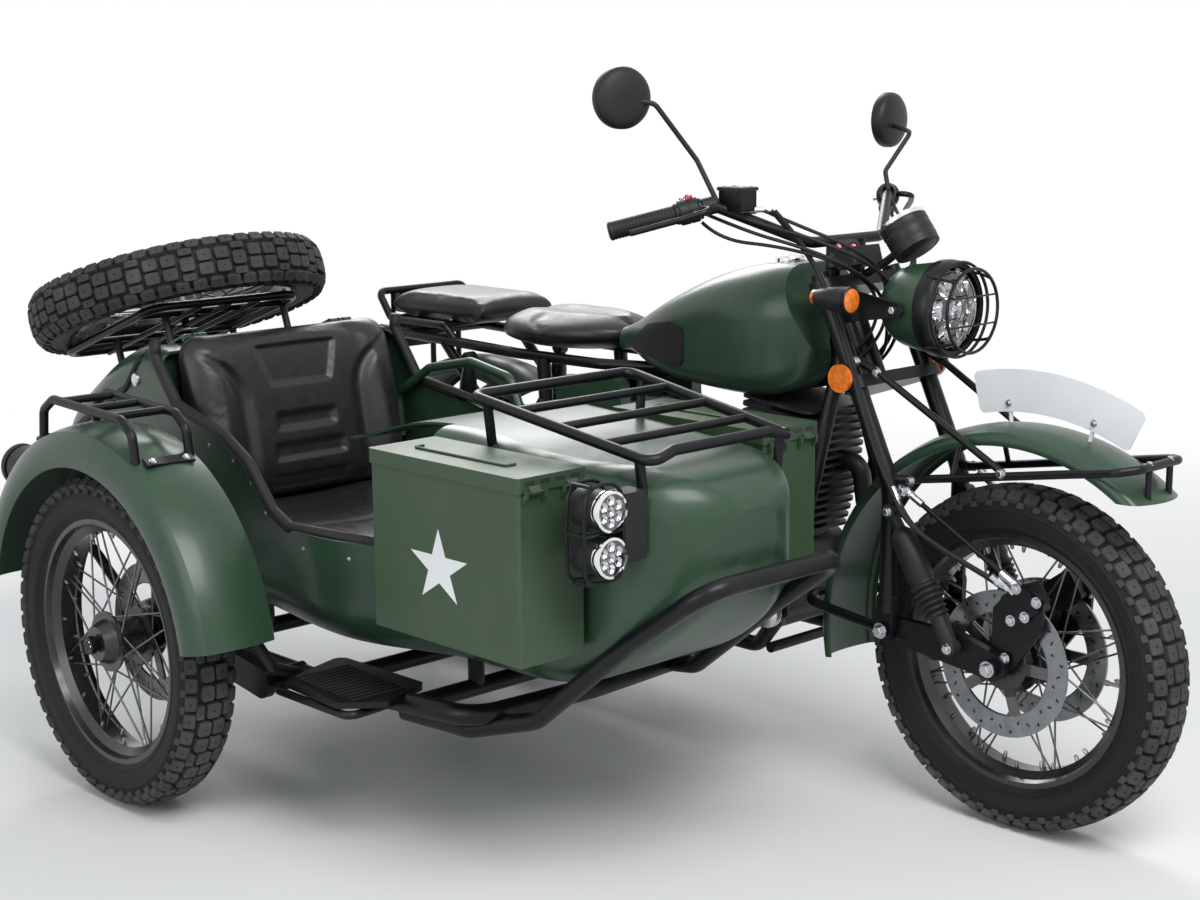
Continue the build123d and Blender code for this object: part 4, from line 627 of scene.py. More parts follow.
def lathe(name: str, profile: Profile, place: Matrix, steps: int = 48, looped: bool = False) -> Piece:
    """Turns a profile about the place's Z axis.

    Args:
        name: The piece's name.
        profile: Radius and height of each point, in metres. A radius of 0 closes the shape there.
        place: Where the shape goes.
        steps: Faces round the axis.
        looped: Whether the last point joins the first, as in a ring.

    Returns:
        The object.
    """
    points = [
        (r * cos(tau * k / steps), r * sin(tau * k / steps), h) for k in range(steps) for r, h in profile
    ]
    count = len(profile)
    spans = count if looped else count - 1
    faces = []
    for k in range(steps):
        here, there = k * count, (k + 1) % steps * count
        for j in range(spans):
            n = (j + 1) % count
            faces.append((here + j, there + j, there + n, here + n))
    made = mesh_object(name, points, faces, place)
    if any(face.area < MERGE * MERGE for face in made.data.polygons):
        tidy = bmesh.new()
        tidy.from_mesh(made.data)
        bmesh.ops.dissolve_degenerate(tidy, edges=tidy.edges, dist=1e-7)
        tidy.to_mesh(made.data)
        tidy.free()
    return made


def smooth_path(points: Sequence[Vector], closed: bool = False, resolution: int = 10) -> list[Vector]:
    """Points along a smooth spline.

    Args:
        points: The spline's control points.
        closed: Whether it is a loop.
        resolution: Steps between two control points.

    Returns:
        The points in order.
    """
    data = bpy.data.curves.new("path", "CURVE")
    data.dimensions = "3D"
    data.resolution_u = resolution
    spline = data.splines.new("NURBS")
    spline.points.add(len(points) - 1)
    for target, point in zip(spline.points, points):
        target.co = (*point, 1.0)
    spline.order_u = 3
    spline.use_endpoint_u = not closed
    spline.use_cyclic_u = closed
    holder = bpy.data.objects.new("path", data)
    mesh = bpy.data.meshes.new_from_object(holder)
    walked = [vertex.co.copy() for vertex in mesh.vertices]
    bpy.data.objects.remove(holder)
    bpy.data.meshes.remove(mesh)
    return walked


def hose(
    name: str,
    points: Sequence[Vector],
    radius: float | Callable[[float], float],
    sides: int = 10,
    closed: bool = False,
) -> Piece:
    """A round tube along a smooth path.

    Args:
        name: The piece's name.
        points: Control points of the path.
        radius: The tube's radius, or a function of the share of the path from 0 to 1.
        sides: Faces round the tube.
        closed: Whether the path is a loop.

    Returns:
        The object, with its ends closed.
    """
    walked = smooth_path(points, closed)
    count = len(walked)
    ring = [walked[-1], *walked, walked[0]] if closed else [walked[0], *walked, walked[-1]]
    ahead = [after - before for before, after in zip(ring, ring[2:])]
    side = ahead[0].orthogonal().normalized()
    rings: list[Triple] = []
    for i, (point, step) in enumerate(zip(walked, ahead)):
        forward = step.normalized()
        side = (side - forward * side.dot(forward)).normalized()
        up = forward.cross(side)
        reach = radius(i / (count - 1)) if callable(radius) else radius
        for k in range(sides):
            turn = tau * k / sides
            rings.append(tuple(point + (side * cos(turn) + up * sin(turn)) * reach))
    faces: Faces = []
    for i in range(count if closed else count - 1):
        here, there = i * sides, (i + 1) % count * sides
        for k in range(sides):
            n = (k + 1) % sides
            faces.append((here + k, here + n, there + n, there + k))
    if not closed:
        faces += [tuple(range(sides)), tuple(range((count - 1) * sides, count * sides))]
    return mesh_object(name, rings, faces)


def lug(length: float, width: float, height: float, dimple: float) -> tuple[list[Vector], Faces]:
    """Tread block with cut corners and, where the dimple has a radius, a small hole in its top.

    Args:
        length: Size along X.
        width: Size along Y.
        height: Size along Z.
        dimple: Radius of the hole, or 0.

    Returns:
        Its points and faces.
    """
    cut, edge = 0.15 * min(length, width), 0.0012
    half_x, half_y = length / 2, width / 2
    corner = ((half_x, half_y - cut), (half_x - cut, half_y))
    outline = [
        (x * sx, y * sy)
        for sx, sy, order in ((1, 1, 1), (-1, 1, -1), (-1, -1, 1), (1, -1, -1))
        for x, y in corner[::order]
    ]
    levels = [(1.0, 1.0, 0.0), (1.0, 1.0, height - edge), (1 - edge / half_x, 1 - edge / half_y, height)]
    if dimple:
        levels += [
            (dimple / half_x, dimple / half_y, height), (dimple / half_x, dimple / half_y, height - 0.002),
        ]
    points = [Vector((x * wide, y * deep, level)) for wide, deep, level in levels for x, y in outline]
    count = len(outline)
    faces: Faces = [tuple(range(count))[::-1]]
    for ring in range(len(levels) - 1):
        here, there = ring * count, (ring + 1) * count
        faces += [
            (here + k, here + (k + 1) % count, there + (k + 1) % count, there + k) for k in range(count)
        ]
    faces.append(tuple(range(len(points) - count, len(points))))
    return points, faces


def block(length: float, width: float, height: float, chamfer: float) -> tuple[list[Vector], Faces]:
    """Block with a chamfered top, standing on the middle of its base.

    Args:
        length: Size along X.
        width: Size along Y.
        height: Size along Z.
        chamfer: Width of the sloped edge round the top.

    Returns:
        Its points and faces.
    """
    points: list[Vector] = []
    for inset, level in ((0.0, 0.0), (0.0, height - chamfer), (chamfer, height)):
        half_x, half_y = length / 2 - inset, width / 2 - inset
        points += [
            Vector((sx * half_x, sy * half_y, level)) for sx, sy in ((-1, -1), (1, -1), (1, 1), (-1, 1))
        ]
    faces: Faces = [(3, 2, 1, 0), (8, 9, 10, 11)]
    for ring in (0, 4):
        faces += [(ring + k, ring + (k + 1) % 4, ring + 4 + (k + 1) % 4, ring + 4 + k) for k in range(4)]
    return points, faces


def slab(name: str, outline: Profile, thickness: float, place: Matrix, bevel: float = 0.0) -> Piece:
    """A plate with a polygon outline.

    Args:
        name: The piece's name.
        outline: Its corners in the place's XY plane.
        thickness: Its size along Z, up from that plane.
        place: Where it goes.
        bevel: Width of its rounded edges, or 0.

    Returns:
        The plate.
    """
    count = len(outline)
    points = [(x, y, level) for level in (0.0, thickness) for x, y in outline]
    faces: list[Sequence[int]] = [tuple(range(count)), tuple(range(count, 2 * count))]
    faces += [(k, (k + 1) % count, count + (k + 1) % count, count + k) for k in range(count)]
    made = mesh_object(name, points, faces, place, smooth=False)
    if bevel:
        cut = made.modifiers.new("edges", "BEVEL")
        cut.width = bevel
        cut.segments = 2
        bake_modifiers(made)
    return made


def bake_modifiers(piece: Piece) -> None:
    """Replaces a piece's mesh by what its modifiers make of it, and removes them."""
    graph = bpy.context.evaluated_depsgraph_get()
    mesh = bpy.data.meshes.new_from_object(piece.evaluated_get(graph))
    piece.modifiers.clear()
    piece.data = mesh


def joined(name: str, pieces: Sequence[Piece]) -> Piece:
    """One object with the meshes of several, which are removed.

    Args:
        name: The new piece's name.
        pieces: The objects to join.

    Returns:
        The joined object, without a material.
    """
    whole = bmesh.new()
    for piece in pieces:
        whole.from_mesh(piece.data)
        bpy.data.objects.remove(piece)
    mesh = bpy.data.meshes.new(name)
    whole.to_mesh(mesh)
    whole.free()
    made = bpy.data.objects.new(name, mesh)
    bpy.context.scene.collection.objects.link(made)
    return made


def settle(piece: Piece, body: Body, finish: Finish) -> Piece:
    """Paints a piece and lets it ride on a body.

    Args:
        piece: The piece.
        body: What it rides on.
        finish: Its finish.

    Returns:
        The same piece.
    """
    piece.data.materials.clear()
    piece.data.materials.append(finish.material())
    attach(piece, body.value)
    return piece


# ---- Geometry Nodes ----


class Tree(Nodes):
    """A Geometry Nodes tree with named inputs."""

    def __init__(self, name: str, counts: Sequence[str], sizes: Sequence[str]) -> None:
        """Makes the tree, whose last input is the material.

        Args:
            name: The tree's name.
            counts: Names of its inputs that are whole numbers.
            sizes: Names of its other inputs after the geometry.
        """
        inputs = {label: "NodeSocketInt" for label in counts}
        inputs |= {label: "NodeSocketFloat" for label in sizes}
        inputs["Material"] = "NodeSocketMaterial"
        super().__init__(bpy.data.node_groups.new(name, "GeometryNodeTree"))
        self.tree.interface.new_socket("Geometry", in_out="INPUT", socket_type="NodeSocketGeometry")
        self.identifiers = {
            label: self.tree.interface.new_socket(label, in_out="INPUT", socket_type=kind).identifier
            for label, kind in inputs.items()
        }
        self.tree.interface.new_socket("Geometry", in_out="OUTPUT", socket_type="NodeSocketGeometry")
        self.entry = self.node("NodeGroupInput", {}, {})

    def math(self, operation: str, first: object, second: object) -> Socket:
        """Result of a Math node."""
        return self.node("ShaderNodeMath", {"operation": operation}, {0: first, 1: second}).outputs[0]

    def given(self, label: str) -> Socket:
        """One of the tree's inputs."""
        return self.entry.outputs[label]

    def vector(self, axis: str, size: object) -> Socket:
        """A vector along one axis."""
        return self.node("ShaderNodeCombineXYZ", {}, {axis: size}).outputs[0]

    def finish(self, geometry: Socket) -> None:
        """Ends the tree in Realize Instances and Set Material."""
        real = self.node("GeometryNodeRealizeInstances", {}, {0: geometry})
        values = {"Geometry": real.outputs[0], "Material": self.given("Material")}
        painted = self.node("GeometryNodeSetMaterial", {}, values)
        self.node("NodeGroupOutput", {}, {0: painted.outputs[0]})

    def finish_copies(self, points: object, shape: object, **turn: object) -> "Tree":
        """Ends the tree in copies of a shape, one at each point, and returns it."""
        values = {
            "Points": points, "Instance": shape, **{key.capitalize(): value for key, value in turn.items()},
        }
        self.finish(self.node("GeometryNodeInstanceOnPoints", {}, values).outputs[0])
        return self

    def grow(self, seed: Piece, **inputs: object) -> Piece:
        """Runs the tree on an object and keeps the result as its plain mesh.

        Args:
            seed: The object that the tree starts from.
            inputs: The named inputs, written with underscores.

        Returns:
            The same object with its new mesh.
        """
        modifier = seed.modifiers.new(self.tree.name, "NODES")
        modifier.node_group = self.tree
        for key, value in inputs.items():
            modifier[self.identifiers[key.replace("_", " ").capitalize()]] = value
        bake_modifiers(seed)
        return seed


def ring_tree() -> Tree:
    """Tree that repeats a shape round the Z axis."""
    tree = Tree("ring of like shapes", ("Count",), ("Phase",))
    points = tree.node("GeometryNodePoints", {}, {"Count": tree.given("Count")})
    index = tree.node("GeometryNodeInputIndex", {}, {})
    share = tree.math("ADD", index.outputs[0], tree.given("Phase"))
    turn = tree.math("DIVIDE", tree.math("MULTIPLY", share, tau), tree.given("Count"))
    return tree.finish_copies(points.outputs[0], tree.given("Geometry"), rotation=tree.vector("Z", turn))


def row_tree() -> Tree:
    """Tree that repeats a shape in a straight row along the X axis."""
    tree = Tree("row of like shapes", ("Count",), ("Pitch",))
    index = tree.node("GeometryNodeInputIndex", {}, {})
    place = tree.vector("X", tree.math("MULTIPLY", index.outputs[0], tree.given("Pitch")))
    points = tree.node("GeometryNodePoints", {}, {"Count": tree.given("Count"), "Position": place})
    return tree.finish_copies(points.outputs[0], tree.given("Geometry"))


def fastener_tree() -> Tree:
    """Tree that puts a screw head on a washer at each vertex, along its "aim" attribute."""
    tree = Tree("screw heads", ("Sides",), ("Head", "Height", "Washer"))
    sides, head, height = (tree.given(label) for label in ("Sides", "Head", "Height"))

    def lifted(shape: bpy.types.Node, share: float) -> bpy.types.Node:
        """A shape raised by a share of the head's height."""
        lift = tree.vector("Z", tree.math("MULTIPLY", height, share))
        values = {"Geometry": shape.outputs[0], "Translation": lift}
        return tree.node("GeometryNodeTransform", {}, values)

    disc = {"Vertices": 20, "Radius": tree.given("Washer"), "Depth": tree.math("MULTIPLY", height, 0.35)}
    washer = tree.node("GeometryNodeMeshCylinder", {}, disc)
    hexagon = {"Vertices": sides, "Radius": head, "Depth": height}
    body = lifted(tree.node("GeometryNodeMeshCylinder", {}, hexagon), 0.75)
    chamfer = {
        "Vertices": sides,
        "Radius Bottom": head,
        "Radius Top": tree.math("MULTIPLY", head, 0.8),
        "Depth": tree.math("MULTIPLY", height, 0.2),
    }
    crown = lifted(tree.node("GeometryNodeMeshCone", {"fill_type": "NGON"}, chamfer), 1.25)
    whole = tree.node("GeometryNodeJoinGeometry", {}, {})
    for part in (washer, body, crown):
        tree.tree.links.new(part.outputs[0], whole.inputs[0])
    aim = tree.node("GeometryNodeInputNamedAttribute", {"data_type": "FLOAT_VECTOR"}, {"Name": "aim"})
    values = {"Vector": aim.outputs["Attribute"]}
    turn = tree.node("FunctionNodeAlignRotationToVector", {"axis": "Z"}, values)
    return tree.finish_copies(tree.given("Geometry"), whole.outputs[0], rotation=turn.outputs[0])


def coil_tree() -> Tree:
    """Tree that winds a wire into a spring along the Z axis."""
    tree = Tree("spring coil", (), ("Turns", "Radius", "Length", "Wire"))
    values = {"Resolution": 20, "Rotations": tree.given("Turns"), "Height": tree.given("Length")}
    values |= {f"{end} Radius": tree.given("Radius") for end in ("Start", "End")}
    spiral = tree.node("GeometryNodeCurveSpiral", {}, values)
    values = {"Resolution": 10, "Radius": tree.given("Wire")}
    wire = tree.node("GeometryNodeCurvePrimitiveCircle", {}, values)
    values = {"Curve": spiral.outputs[0], "Profile Curve": wire.outputs[0], "Fill Caps": True}
    swept = tree.node("GeometryNodeCurveToMesh", {}, values)
    tree.finish(tree.node("GeometryNodeSetShadeSmooth", {}, {0: swept.outputs[0]}).outputs[0])
    return tree


@dataclass(frozen=True)
class Fastener:
    """A size of screw head with its washer, in metres."""

    sides: int
    head: float
    height: float
    washer: float


HEX_LARGE = Fastener(6, 0.0115, 0.008, 0.0155)
HEX = Fastener(6, 0.0075, 0.0055, 0.0105)
HEX_SMALL = Fastener(6, 0.0050, 0.0035, 0.0070)
CAP_SCREW = Fastener(18, 0.0052, 0.0050, 0.0060)
RIVET = Fastener(12, 0.0030, 0.0016, 0.0036)


class Toolbox:
    """The Geometry Nodes trees that the sub-assemblies share."""

    def __init__(self) -> None:
        """Builds the trees."""
        self.ring = ring_tree()
        self.fasteners = fastener_tree()
        self.coil = coil_tree()
        self.row = row_tree()

    def screws(self, name: str, spots: Spots, size: Fastener, finish: Finish = ZINC) -> Piece:
        """Screw heads at some spots.

        Args:
            name: The piece's name.
            spots: Place and outward direction of each head.
            size: The kind of head.
            finish: Its finish.

        Returns:
            One object with all of the heads.
        """
        mesh = bpy.data.meshes.new(name)
        mesh.from_pydata([tuple(place) for place, _ in spots], [], [])
        aim = mesh.attributes.new("aim", "FLOAT_VECTOR", "POINT")
        for target, (_, direction) in zip(aim.data, spots):
            target.vector = Vector(direction).normalized()
        seed = bpy.data.objects.new(name, mesh)
        bpy.context.scene.collection.objects.link(seed)
        return self.fasteners.grow(seed, material=finish.material(), **asdict(size))


def settle_grown(piece: Piece, body: Body, place: Matrix | None = None) -> Piece:
    """Settles a piece that a tree has grown and painted.

    Args:
        piece: The piece.
        body: What it rides on.
        place: Where it goes, if it isn't there yet.

    Returns:
        The same piece.
    """
    if place is not None:
        piece.data.transform(place)
    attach(piece, body.value)
    return piece


@dataclass
class Assembly:
    """A sub-assembly, with the trees that its repeated pieces grow from."""

    tools: Toolbox

    def screw(self, name: str, spots: Spots, size: Fastener, body: Body) -> None:
        """Puts plated screw heads on a body.

        Args:
            name: The piece's name.
            spots: Place and outward direction of each head.
            size: The kind of head.
            body: What they ride on.
        """
        settle_grown(self.tools.screws(name, spots, size), body)


# ---- Wheels ----


@dataclass(frozen=True)
class Lug:
    """One tread block of a stretch that repeats round the tyre."""

    column: float
    offset: float
    lean: float
    length: float
    width: float
    dimple: float = 0.0022


@dataclass
class Wheel(Assembly):
    """A spoked wheel with a block tread tyre."""

    name: str
    body: Body
    axis: Vector
    disc: bool = True
    radius: float = 0.330
    groove: float = 0.0095
    columns: int = 54
    nipples: int = 32
    rim_radius: float = 0.2165

    # Two columns of paired blocks, then one of three, with shoulder blocks between the columns
    stretch: tuple[Lug, ...] = (
        *(Lug(column, side * 0.0140, side * 5.0, 0.0305, 0.0250) for column in (0, 1) for side in (-1, 1)),
        Lug(2, 0.0, 0.0, 0.0305, 0.0290),
        *(Lug(2, side * 0.0262, side * 12.0, 0.0290, 0.0150) for side in (-1, 1)),
        *(
            Lug(column + 0.5, side * 0.0410, side * 36.0, 0.0285, 0.0225)
            for column in (0, 1, 2)
            for side in (-1, 1)
        ),
        *(
            Lug(column, side * 0.0500, side * 66.0, 0.0150, 0.0120, 0.0)
            for column in (0, 1, 2)
            for side in (-1, 1)
        ),
    )

    def place(self) -> Matrix:
        """Place of the wheel, with its Z axis along the axle."""
        return facing(middle(f"{self.name}_tyre"), self.axis, (1, 0, 0))

    def section(self) -> list[tuple[float, float]]:
        """Radius and offset along half of the tyre's section without its blocks, from crown to bead."""
        base = self.radius - self.groove
        return [
            (base, 0.012), (base - 0.0015, 0.024), (base - 0.0055, 0.036), (base - 0.0120, 0.0455),
            (base - 0.0200, 0.0505), (base - 0.0300, 0.0530), (base - 0.0330, 0.0545),
            (base - 0.0350, 0.0530), (base - 0.0500, 0.0528), (base - 0.0600, 0.0505),
            (base - 0.0615, 0.0515), (base - 0.0640, 0.0495), (base - 0.0660, 0.0500),
            (base - 0.0680, 0.0475), (base - 0.0740, 0.0425), (0.2400, 0.0385), (0.2330, 0.0360),
        ]

    def carcass(self) -> Piece:
        """The tyre without its blocks: sidewalls with moulded rings."""
        half = self.section()
        profile = half + [(r, -h) for r, h in reversed(half)]
        made = lathe(f"{self.name}_tyre_carcass", profile, self.place(), 120, looped=True)
        settle(made, self.body, TYRE)
        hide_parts(f"{self.name}_tyre")
        return made

    def crown(self, offset: float) -> float:
        """Radius of the tyre without its blocks at an offset from its middle."""
        section = [(self.section()[0][0], 0.0), *self.section()]
        for (inner, start), (outer, end) in zip(section, section[1:]):
            if start <= abs(offset) <= end:
                return inner + (outer - inner) * (abs(offset) - start) / (end - start)
        return section[-1][0]

    def tread(self) -> Piece:
        """All of the tread blocks."""
        sunk = 0.002
        points: list[Vector] = []
        faces: Faces = []
        for one in self.stretch:
            tilt = radians(one.lean)
            height = self.groove * (1.0 if one.dimple else 0.55) + sunk
            outward, across = Vector((cos(tilt), 0, sin(tilt))), Vector((-sin(tilt), 0, cos(tilt)))
            root = Vector((self.crown(one.offset), 0, one.offset)) - outward * sunk
            turn = Matrix.Rotation(one.column * tau / self.columns, 3, "Z")
            corners, sides = lug(one.length, one.width, height, one.dimple)
            start = len(points)
            points += [turn @ (root + Vector((0, x, 0)) + across * y + outward * z) for x, y, z in corners]
            faces += [tuple(start + k for k in side) for side in sides]
        seed = mesh_object(f"{self.name}_tread_blocks", points, faces, smooth=False)
        # The blocks take the lighter tread rubber: dust, and painted light on their tops
        grown = self.tools.ring.grow(seed, count=self.columns // 3, phase=0.0, material=TREAD.material())
        return settle_grown(grown, self.body, self.place())

    def spoke_nipples(self) -> Piece:
        """Plated nipples where the spokes meet the rim, and the tyre valve."""
        rows = []
        steel = DARK_STEEL.material()
        for side in (-1, 1):
            profile = [(0.0, 0.0), (0.0042, 0.0), (0.0042, 0.008), (0.0024, 0.013), (0.0, 0.013)]
            place = facing(Vector((self.rim_radius, 0, side * 0.010)), (-1, 0, side * 0.12))
            seed = lathe(f"nipple_{side}", profile, place, 8)
            phase = 0.25 + side * 0.25
            rows.append(self.tools.ring.grow(seed, count=self.nipples // 2, phase=phase, material=steel))
        valve_place = facing(Vector((self.rim_radius, 0.012, 0)), (-1, 0, 0))
        valve = [(0, 0), (0.004, 0), (0.004, 0.03), (0.0055, 0.032), (0.0055, 0.04), (0, 0.042)]
        rows.append(lathe("valve", valve, valve_place, 12))
        made = joined(f"{self.name}_nipples_and_valve", rows)
        made.data.transform(self.place())
        return settle(made, self.body, DARK_STEEL)

    def dress(self) -> None:
        """Paints the CAD wheel by its distance from the axle."""
        centre = middle(f"{self.name}_tyre")
        name, color = f"{self.name} wheel paint", (0.012, 0.012, 0.013)
        finish = WheelPaint(name, color, 0.28, tuple(centre), tuple(self.axis), self.disc)
        repaint(frame["nodes"][f"{self.name}_wheel"], finish)

    def build(self) -> None:
        """Builds the whole wheel."""
        self.carcass()
        self.tread()
        self.spoke_nipples()
        self.dress()
        log.info("%s wheel", self.name)


# ---- Seats ----


SWELL_STEPS = 12


def bump_up(value: float, centre: float, half: float, soft: float) -> float:
    """Soft-edged step.

    Args:
        value: Where it is asked for.
        centre: Middle of the raised stretch.
        half: Half of that stretch.
        soft: How far its edge reaches to either side.

    Returns:
        1 within the stretch, 0 outside and between them at the edge.
    """
    away = abs(value - centre)
    if away <= half - soft:
        return 1.0
    if away >= half + soft:
        return 0.0
    return 0.5 + 0.5 * cos(pi * (away - half + soft) / (2 * soft))


@dataclass
class Cushion:
    """A padded piece: a closed form that cloth simulation swells, with its channels pressed in after."""

    name: str
    nodes: tuple[str, ...]
    place: Matrix
    half_length: float
    depth: float = 0.03
    fill: float = 0.85
    steps: tuple[int, int] = (56, 48)
    pressure: float = 4.0
    quality: int = 5
    cap: float = 0.010
    power: float = 5.0

    def half_width(self, along: float) -> float:
        """Half width at a share of the length from -1 to 1, in metres."""
        raise NotImplementedError

    def top(self, across: float, along: float) -> float:
        """Height of the upper face over the middle plane, in metres."""
        raise NotImplementedError

    def bottom(self, across: float, along: float) -> float:
        """Depth of the lower face under the middle plane, in metres."""
        return self.depth

    def relief(self, across: float, along: float) -> float:
        """How far the upper face is pushed out after it has swelled, in metres."""
        return 0.0

    def rounding(self, across: float, along: float) -> float:
        """Share of the thickness that is left near the rim."""
        edge = (1 - abs(across) ** self.power) * (1 - abs(along) ** self.power)
        return max(0.0, edge) ** 0.42

    def shell(self) -> tuple[Piece, list[tuple[float, float, int]]]:
        """The closed form before it swells, and each vertex's across, along and side."""
        wide, long = self.steps
        points: list[Vector] = []
        marks: list[tuple[float, float, int]] = []
        numbers: dict[tuple[int, int, int], int] = {}
        for side in (1, -1):
            for i in range(wide + 1):
                for j in range(long + 1):
                    rim = i in (0, wide) or j in (0, long)
                    if side < 0 and rim:
                        numbers[i, j, side] = numbers[i, j, 1]
                        continue
                    across = -0.5 * cos(pi * i / wide) + 0.5 * (2 * i / wide - 1)
                    along = -0.5 * cos(pi * j / long) + 0.5 * (2 * j / long - 1)
                    share = 0.0 if rim else self.rounding(across, along)
                    height = self.top(across, along) if side > 0 else -self.bottom(across, along)
                    points.append(
                        Vector((along * self.half_length, across * self.half_width(along), share * height))
                    )
                    numbers[i, j, side] = len(points) - 1
                    marks.append((across, along, side))
        faces = []
        for side in (1, -1):
            for i in range(wide):
                for j in range(long):
                    corners = ((i, j), (i + 1, j), (i + 1, j + 1), (i, j + 1))
                    ring = [numbers[*corner, side] for corner in corners]
                    faces.append(ring[::-1] if side > 0 else ring)
        mesh = bpy.data.meshes.new(self.name)
        mesh.from_pydata([tuple(point) for point in points], [], faces)
        made = bpy.data.objects.new(self.name, mesh)
        bpy.context.scene.collection.objects.link(made)
        return made, marks

    def swell(self, piece: Piece) -> None:
        """Swells the form by cloth simulation, no point further than the cap.

        Args:
            piece: The closed form.
        """
        before = [vertex.co.copy() for vertex in piece.data.vertices]
        cloth = piece.modifiers.new("swell", "CLOTH")
        cloth.settings.use_pressure = True
        cloth.settings.uniform_pressure_force = self.pressure
        cloth.settings.quality = self.quality
        cloth.settings.effector_weights.gravity = 0
        cloth.point_cache.frame_start = 1
        cloth.point_cache.frame_end = SWELL_STEPS
        scene = bpy.context.scene
        for step in range(1, SWELL_STEPS + 1):
            scene.frame_set(step)
        graph = bpy.context.evaluated_depsgraph_get()
        after = [vertex.co.copy() for vertex in piece.evaluated_get(graph).data.vertices]
        piece.modifiers.clear()
        scene.frame_set(1)
        for vertex, start, end in zip(piece.data.vertices, before, after):
            moved = end - start
            if moved.length > self.cap:
                moved = moved.normalized() * self.cap
            vertex.co = start + moved

    def press(self, piece: Piece, marks: list[tuple[float, float, int]]) -> None:
        """Presses the channels and panels into the upper face."""
        for vertex, (across, along, side) in zip(piece.data.vertices, marks):
            if side > 0:
                vertex.co.z += self.relief(across, along) * self.rounding(across, along)

    def build(self) -> Piece:
        piece, marks = self.shell()
        self.swell(piece)
        self.press(piece, marks)
        finer = piece.modifiers.new("finer", "SUBSURF")
        finer.levels = finer.render_levels = 1
        bake_modifiers(piece)
        for face in piece.data.polygons:
            face.use_smooth = True
        piece.data.transform(self.place)
        settle(piece, Body.MACHINE, VINYL)
        if self.nodes:
            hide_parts(*self.nodes)
        log.info("%s", self.name)
        return piece


@dataclass
class SeatBack(Cushion):
    """The sidecar seat's back: bolsters at its sides, and panels pressed into its middle."""

    def half_width(self, along: float) -> float:
        """Half width, with rounded corners above and below."""
        corner = 0.055 if along > 0 else 0.025
        into = max(0.0, (abs(along) - 1) * self.half_length / corner + 1)
        return 0.268 - corner * (1 - max(0.0, 1 - into**2) ** 0.5)

    def top(self, across: float, along: float) -> float:
        """Front face, with bolsters."""
        bolster = bump_up(abs(across), 0.84, 0.14, 0.14) * (0.030 - 0.010 * along)
        return 0.046 - 0.012 * along + bolster

    def bottom(self, across: float, along: float) -> float:
        """Rear face, flat on the bulkhead."""
        return 0.050 - 0.022 * along

    def relief(self, across: float, along: float) -> float:
        """Pressed panel that widens upwards, three slots, and a groove inside each bolster.

        Args:
            across: Share of the half width.
            along: Share of the half height.

        Returns:
            How far the face is pushed out there, in metres.
        """
        widened = 0.28 + 0.10 * (along - 0.32) / 0.46
        panel = bump_up(across, 0, widened, 0.02) * bump_up(along, 0.55, 0.23, 0.025)
        slots = max(
            bump_up(across, 0, half, 0.025) * bump_up(along, centre, 0.085, 0.03)
            for centre, half in ((-0.11, 0.27), (-0.46, 0.33), (-0.82, 0.36))
        )
        groove = 0.56 + 0.30 * max(0.0, (along - 0.15) / 0.6) ** 2
        hollow = bump_up(abs(across), groove, 0.05, 0.045) * bump_up(along, -0.1, 0.85, 0.12)
        return -0.0085 * max(panel, slots) - 0.009 * hollow


@dataclass
class SeatBase(Cushion):
    """The sidecar seat's cushion."""

    def half_width(self, along: float) -> float:
        """Half width."""
        return 0.262 - 0.020 * max(0.0, along) ** 3

    def top(self, across: float, along: float) -> float:
        """Upper face: higher at the front edge and the sides."""
        return 0.050 + 0.010 * abs(across) ** 3 - 0.008 * bump_up(across, 0, 0.5, 0.4)

    def relief(self, across: float, along: float) -> float:
        """Two sewn channels across."""
        lines = max(bump_up(along, place, 0.02, 0.03) for place in (-0.3, 0.25))
        return -0.007 * lines * bump_up(across, 0, 0.8, 0.1)


@dataclass
class Saddle(Cushion):
    """The rider's sprung saddle: wide behind, narrower ahead."""

    def half_width(self, along: float) -> float:
        """Half width, an egg seen from above."""
        return max(0.0, 1 - abs(along) ** 2.3) ** 0.5 * (0.134 - 0.016 * along) + 0.012

    def top(self, across: float, along: float) -> float:
        """Upper face: raised behind, dished where the rider sits."""
        return 0.036 + 0.010 * bump_up(along, -0.9, 0.5, 0.4) - 0.007 * bump_up(across, 0, 0.3, 0.3)


@dataclass
class PillionPad(Cushion):
    """The passenger's square pad."""

    def half_width(self, along: float) -> float:
        """Half width."""
        return 0.116 - 0.006 * along

    def top(self, across: float, along: float) -> float:
        """Upper face, nearly flat."""
        return 0.026 + 0.004 * (1 - across**2)


class Seats:
    """The seats of the sidecar, the rider and the passenger."""

    def build(self) -> None:
        """Builds the seats."""
        lean = Vector((-50, 0, 354)).normalized()
        back_place = facing(car(-1478, -4, 706), (lean.z, 0, -lean.x), lean)
        SeatBack("sidecar_seat_back", ("sidecar_seat",), back_place, 0.185, steps=(96, 84), cap=0.006).build()
        base_place = facing(car(-1254, 0, 467), (0.03, 0, 1), (1, 0, 0))
        SeatBase("sidecar_seat_cushion", (), base_place, 0.286, 0.036).build()
        saddle_place = facing(bike(-1215, 0, 848), (-0.03, 0, 1), (1, 0, 0))
        Saddle("rider_saddle", ("rider_seat",), saddle_place, 0.190, 0.030, power=2.6).build()
        pad_place = facing(bike(-1592, 0, 874), (0, 0, 1), (1, 0, 0))
        PillionPad("pillion_pad", ("pillion_seat",), pad_place, 0.165, 0.026, power=8.0, cap=0.005).build()


# ---- Suspension ----


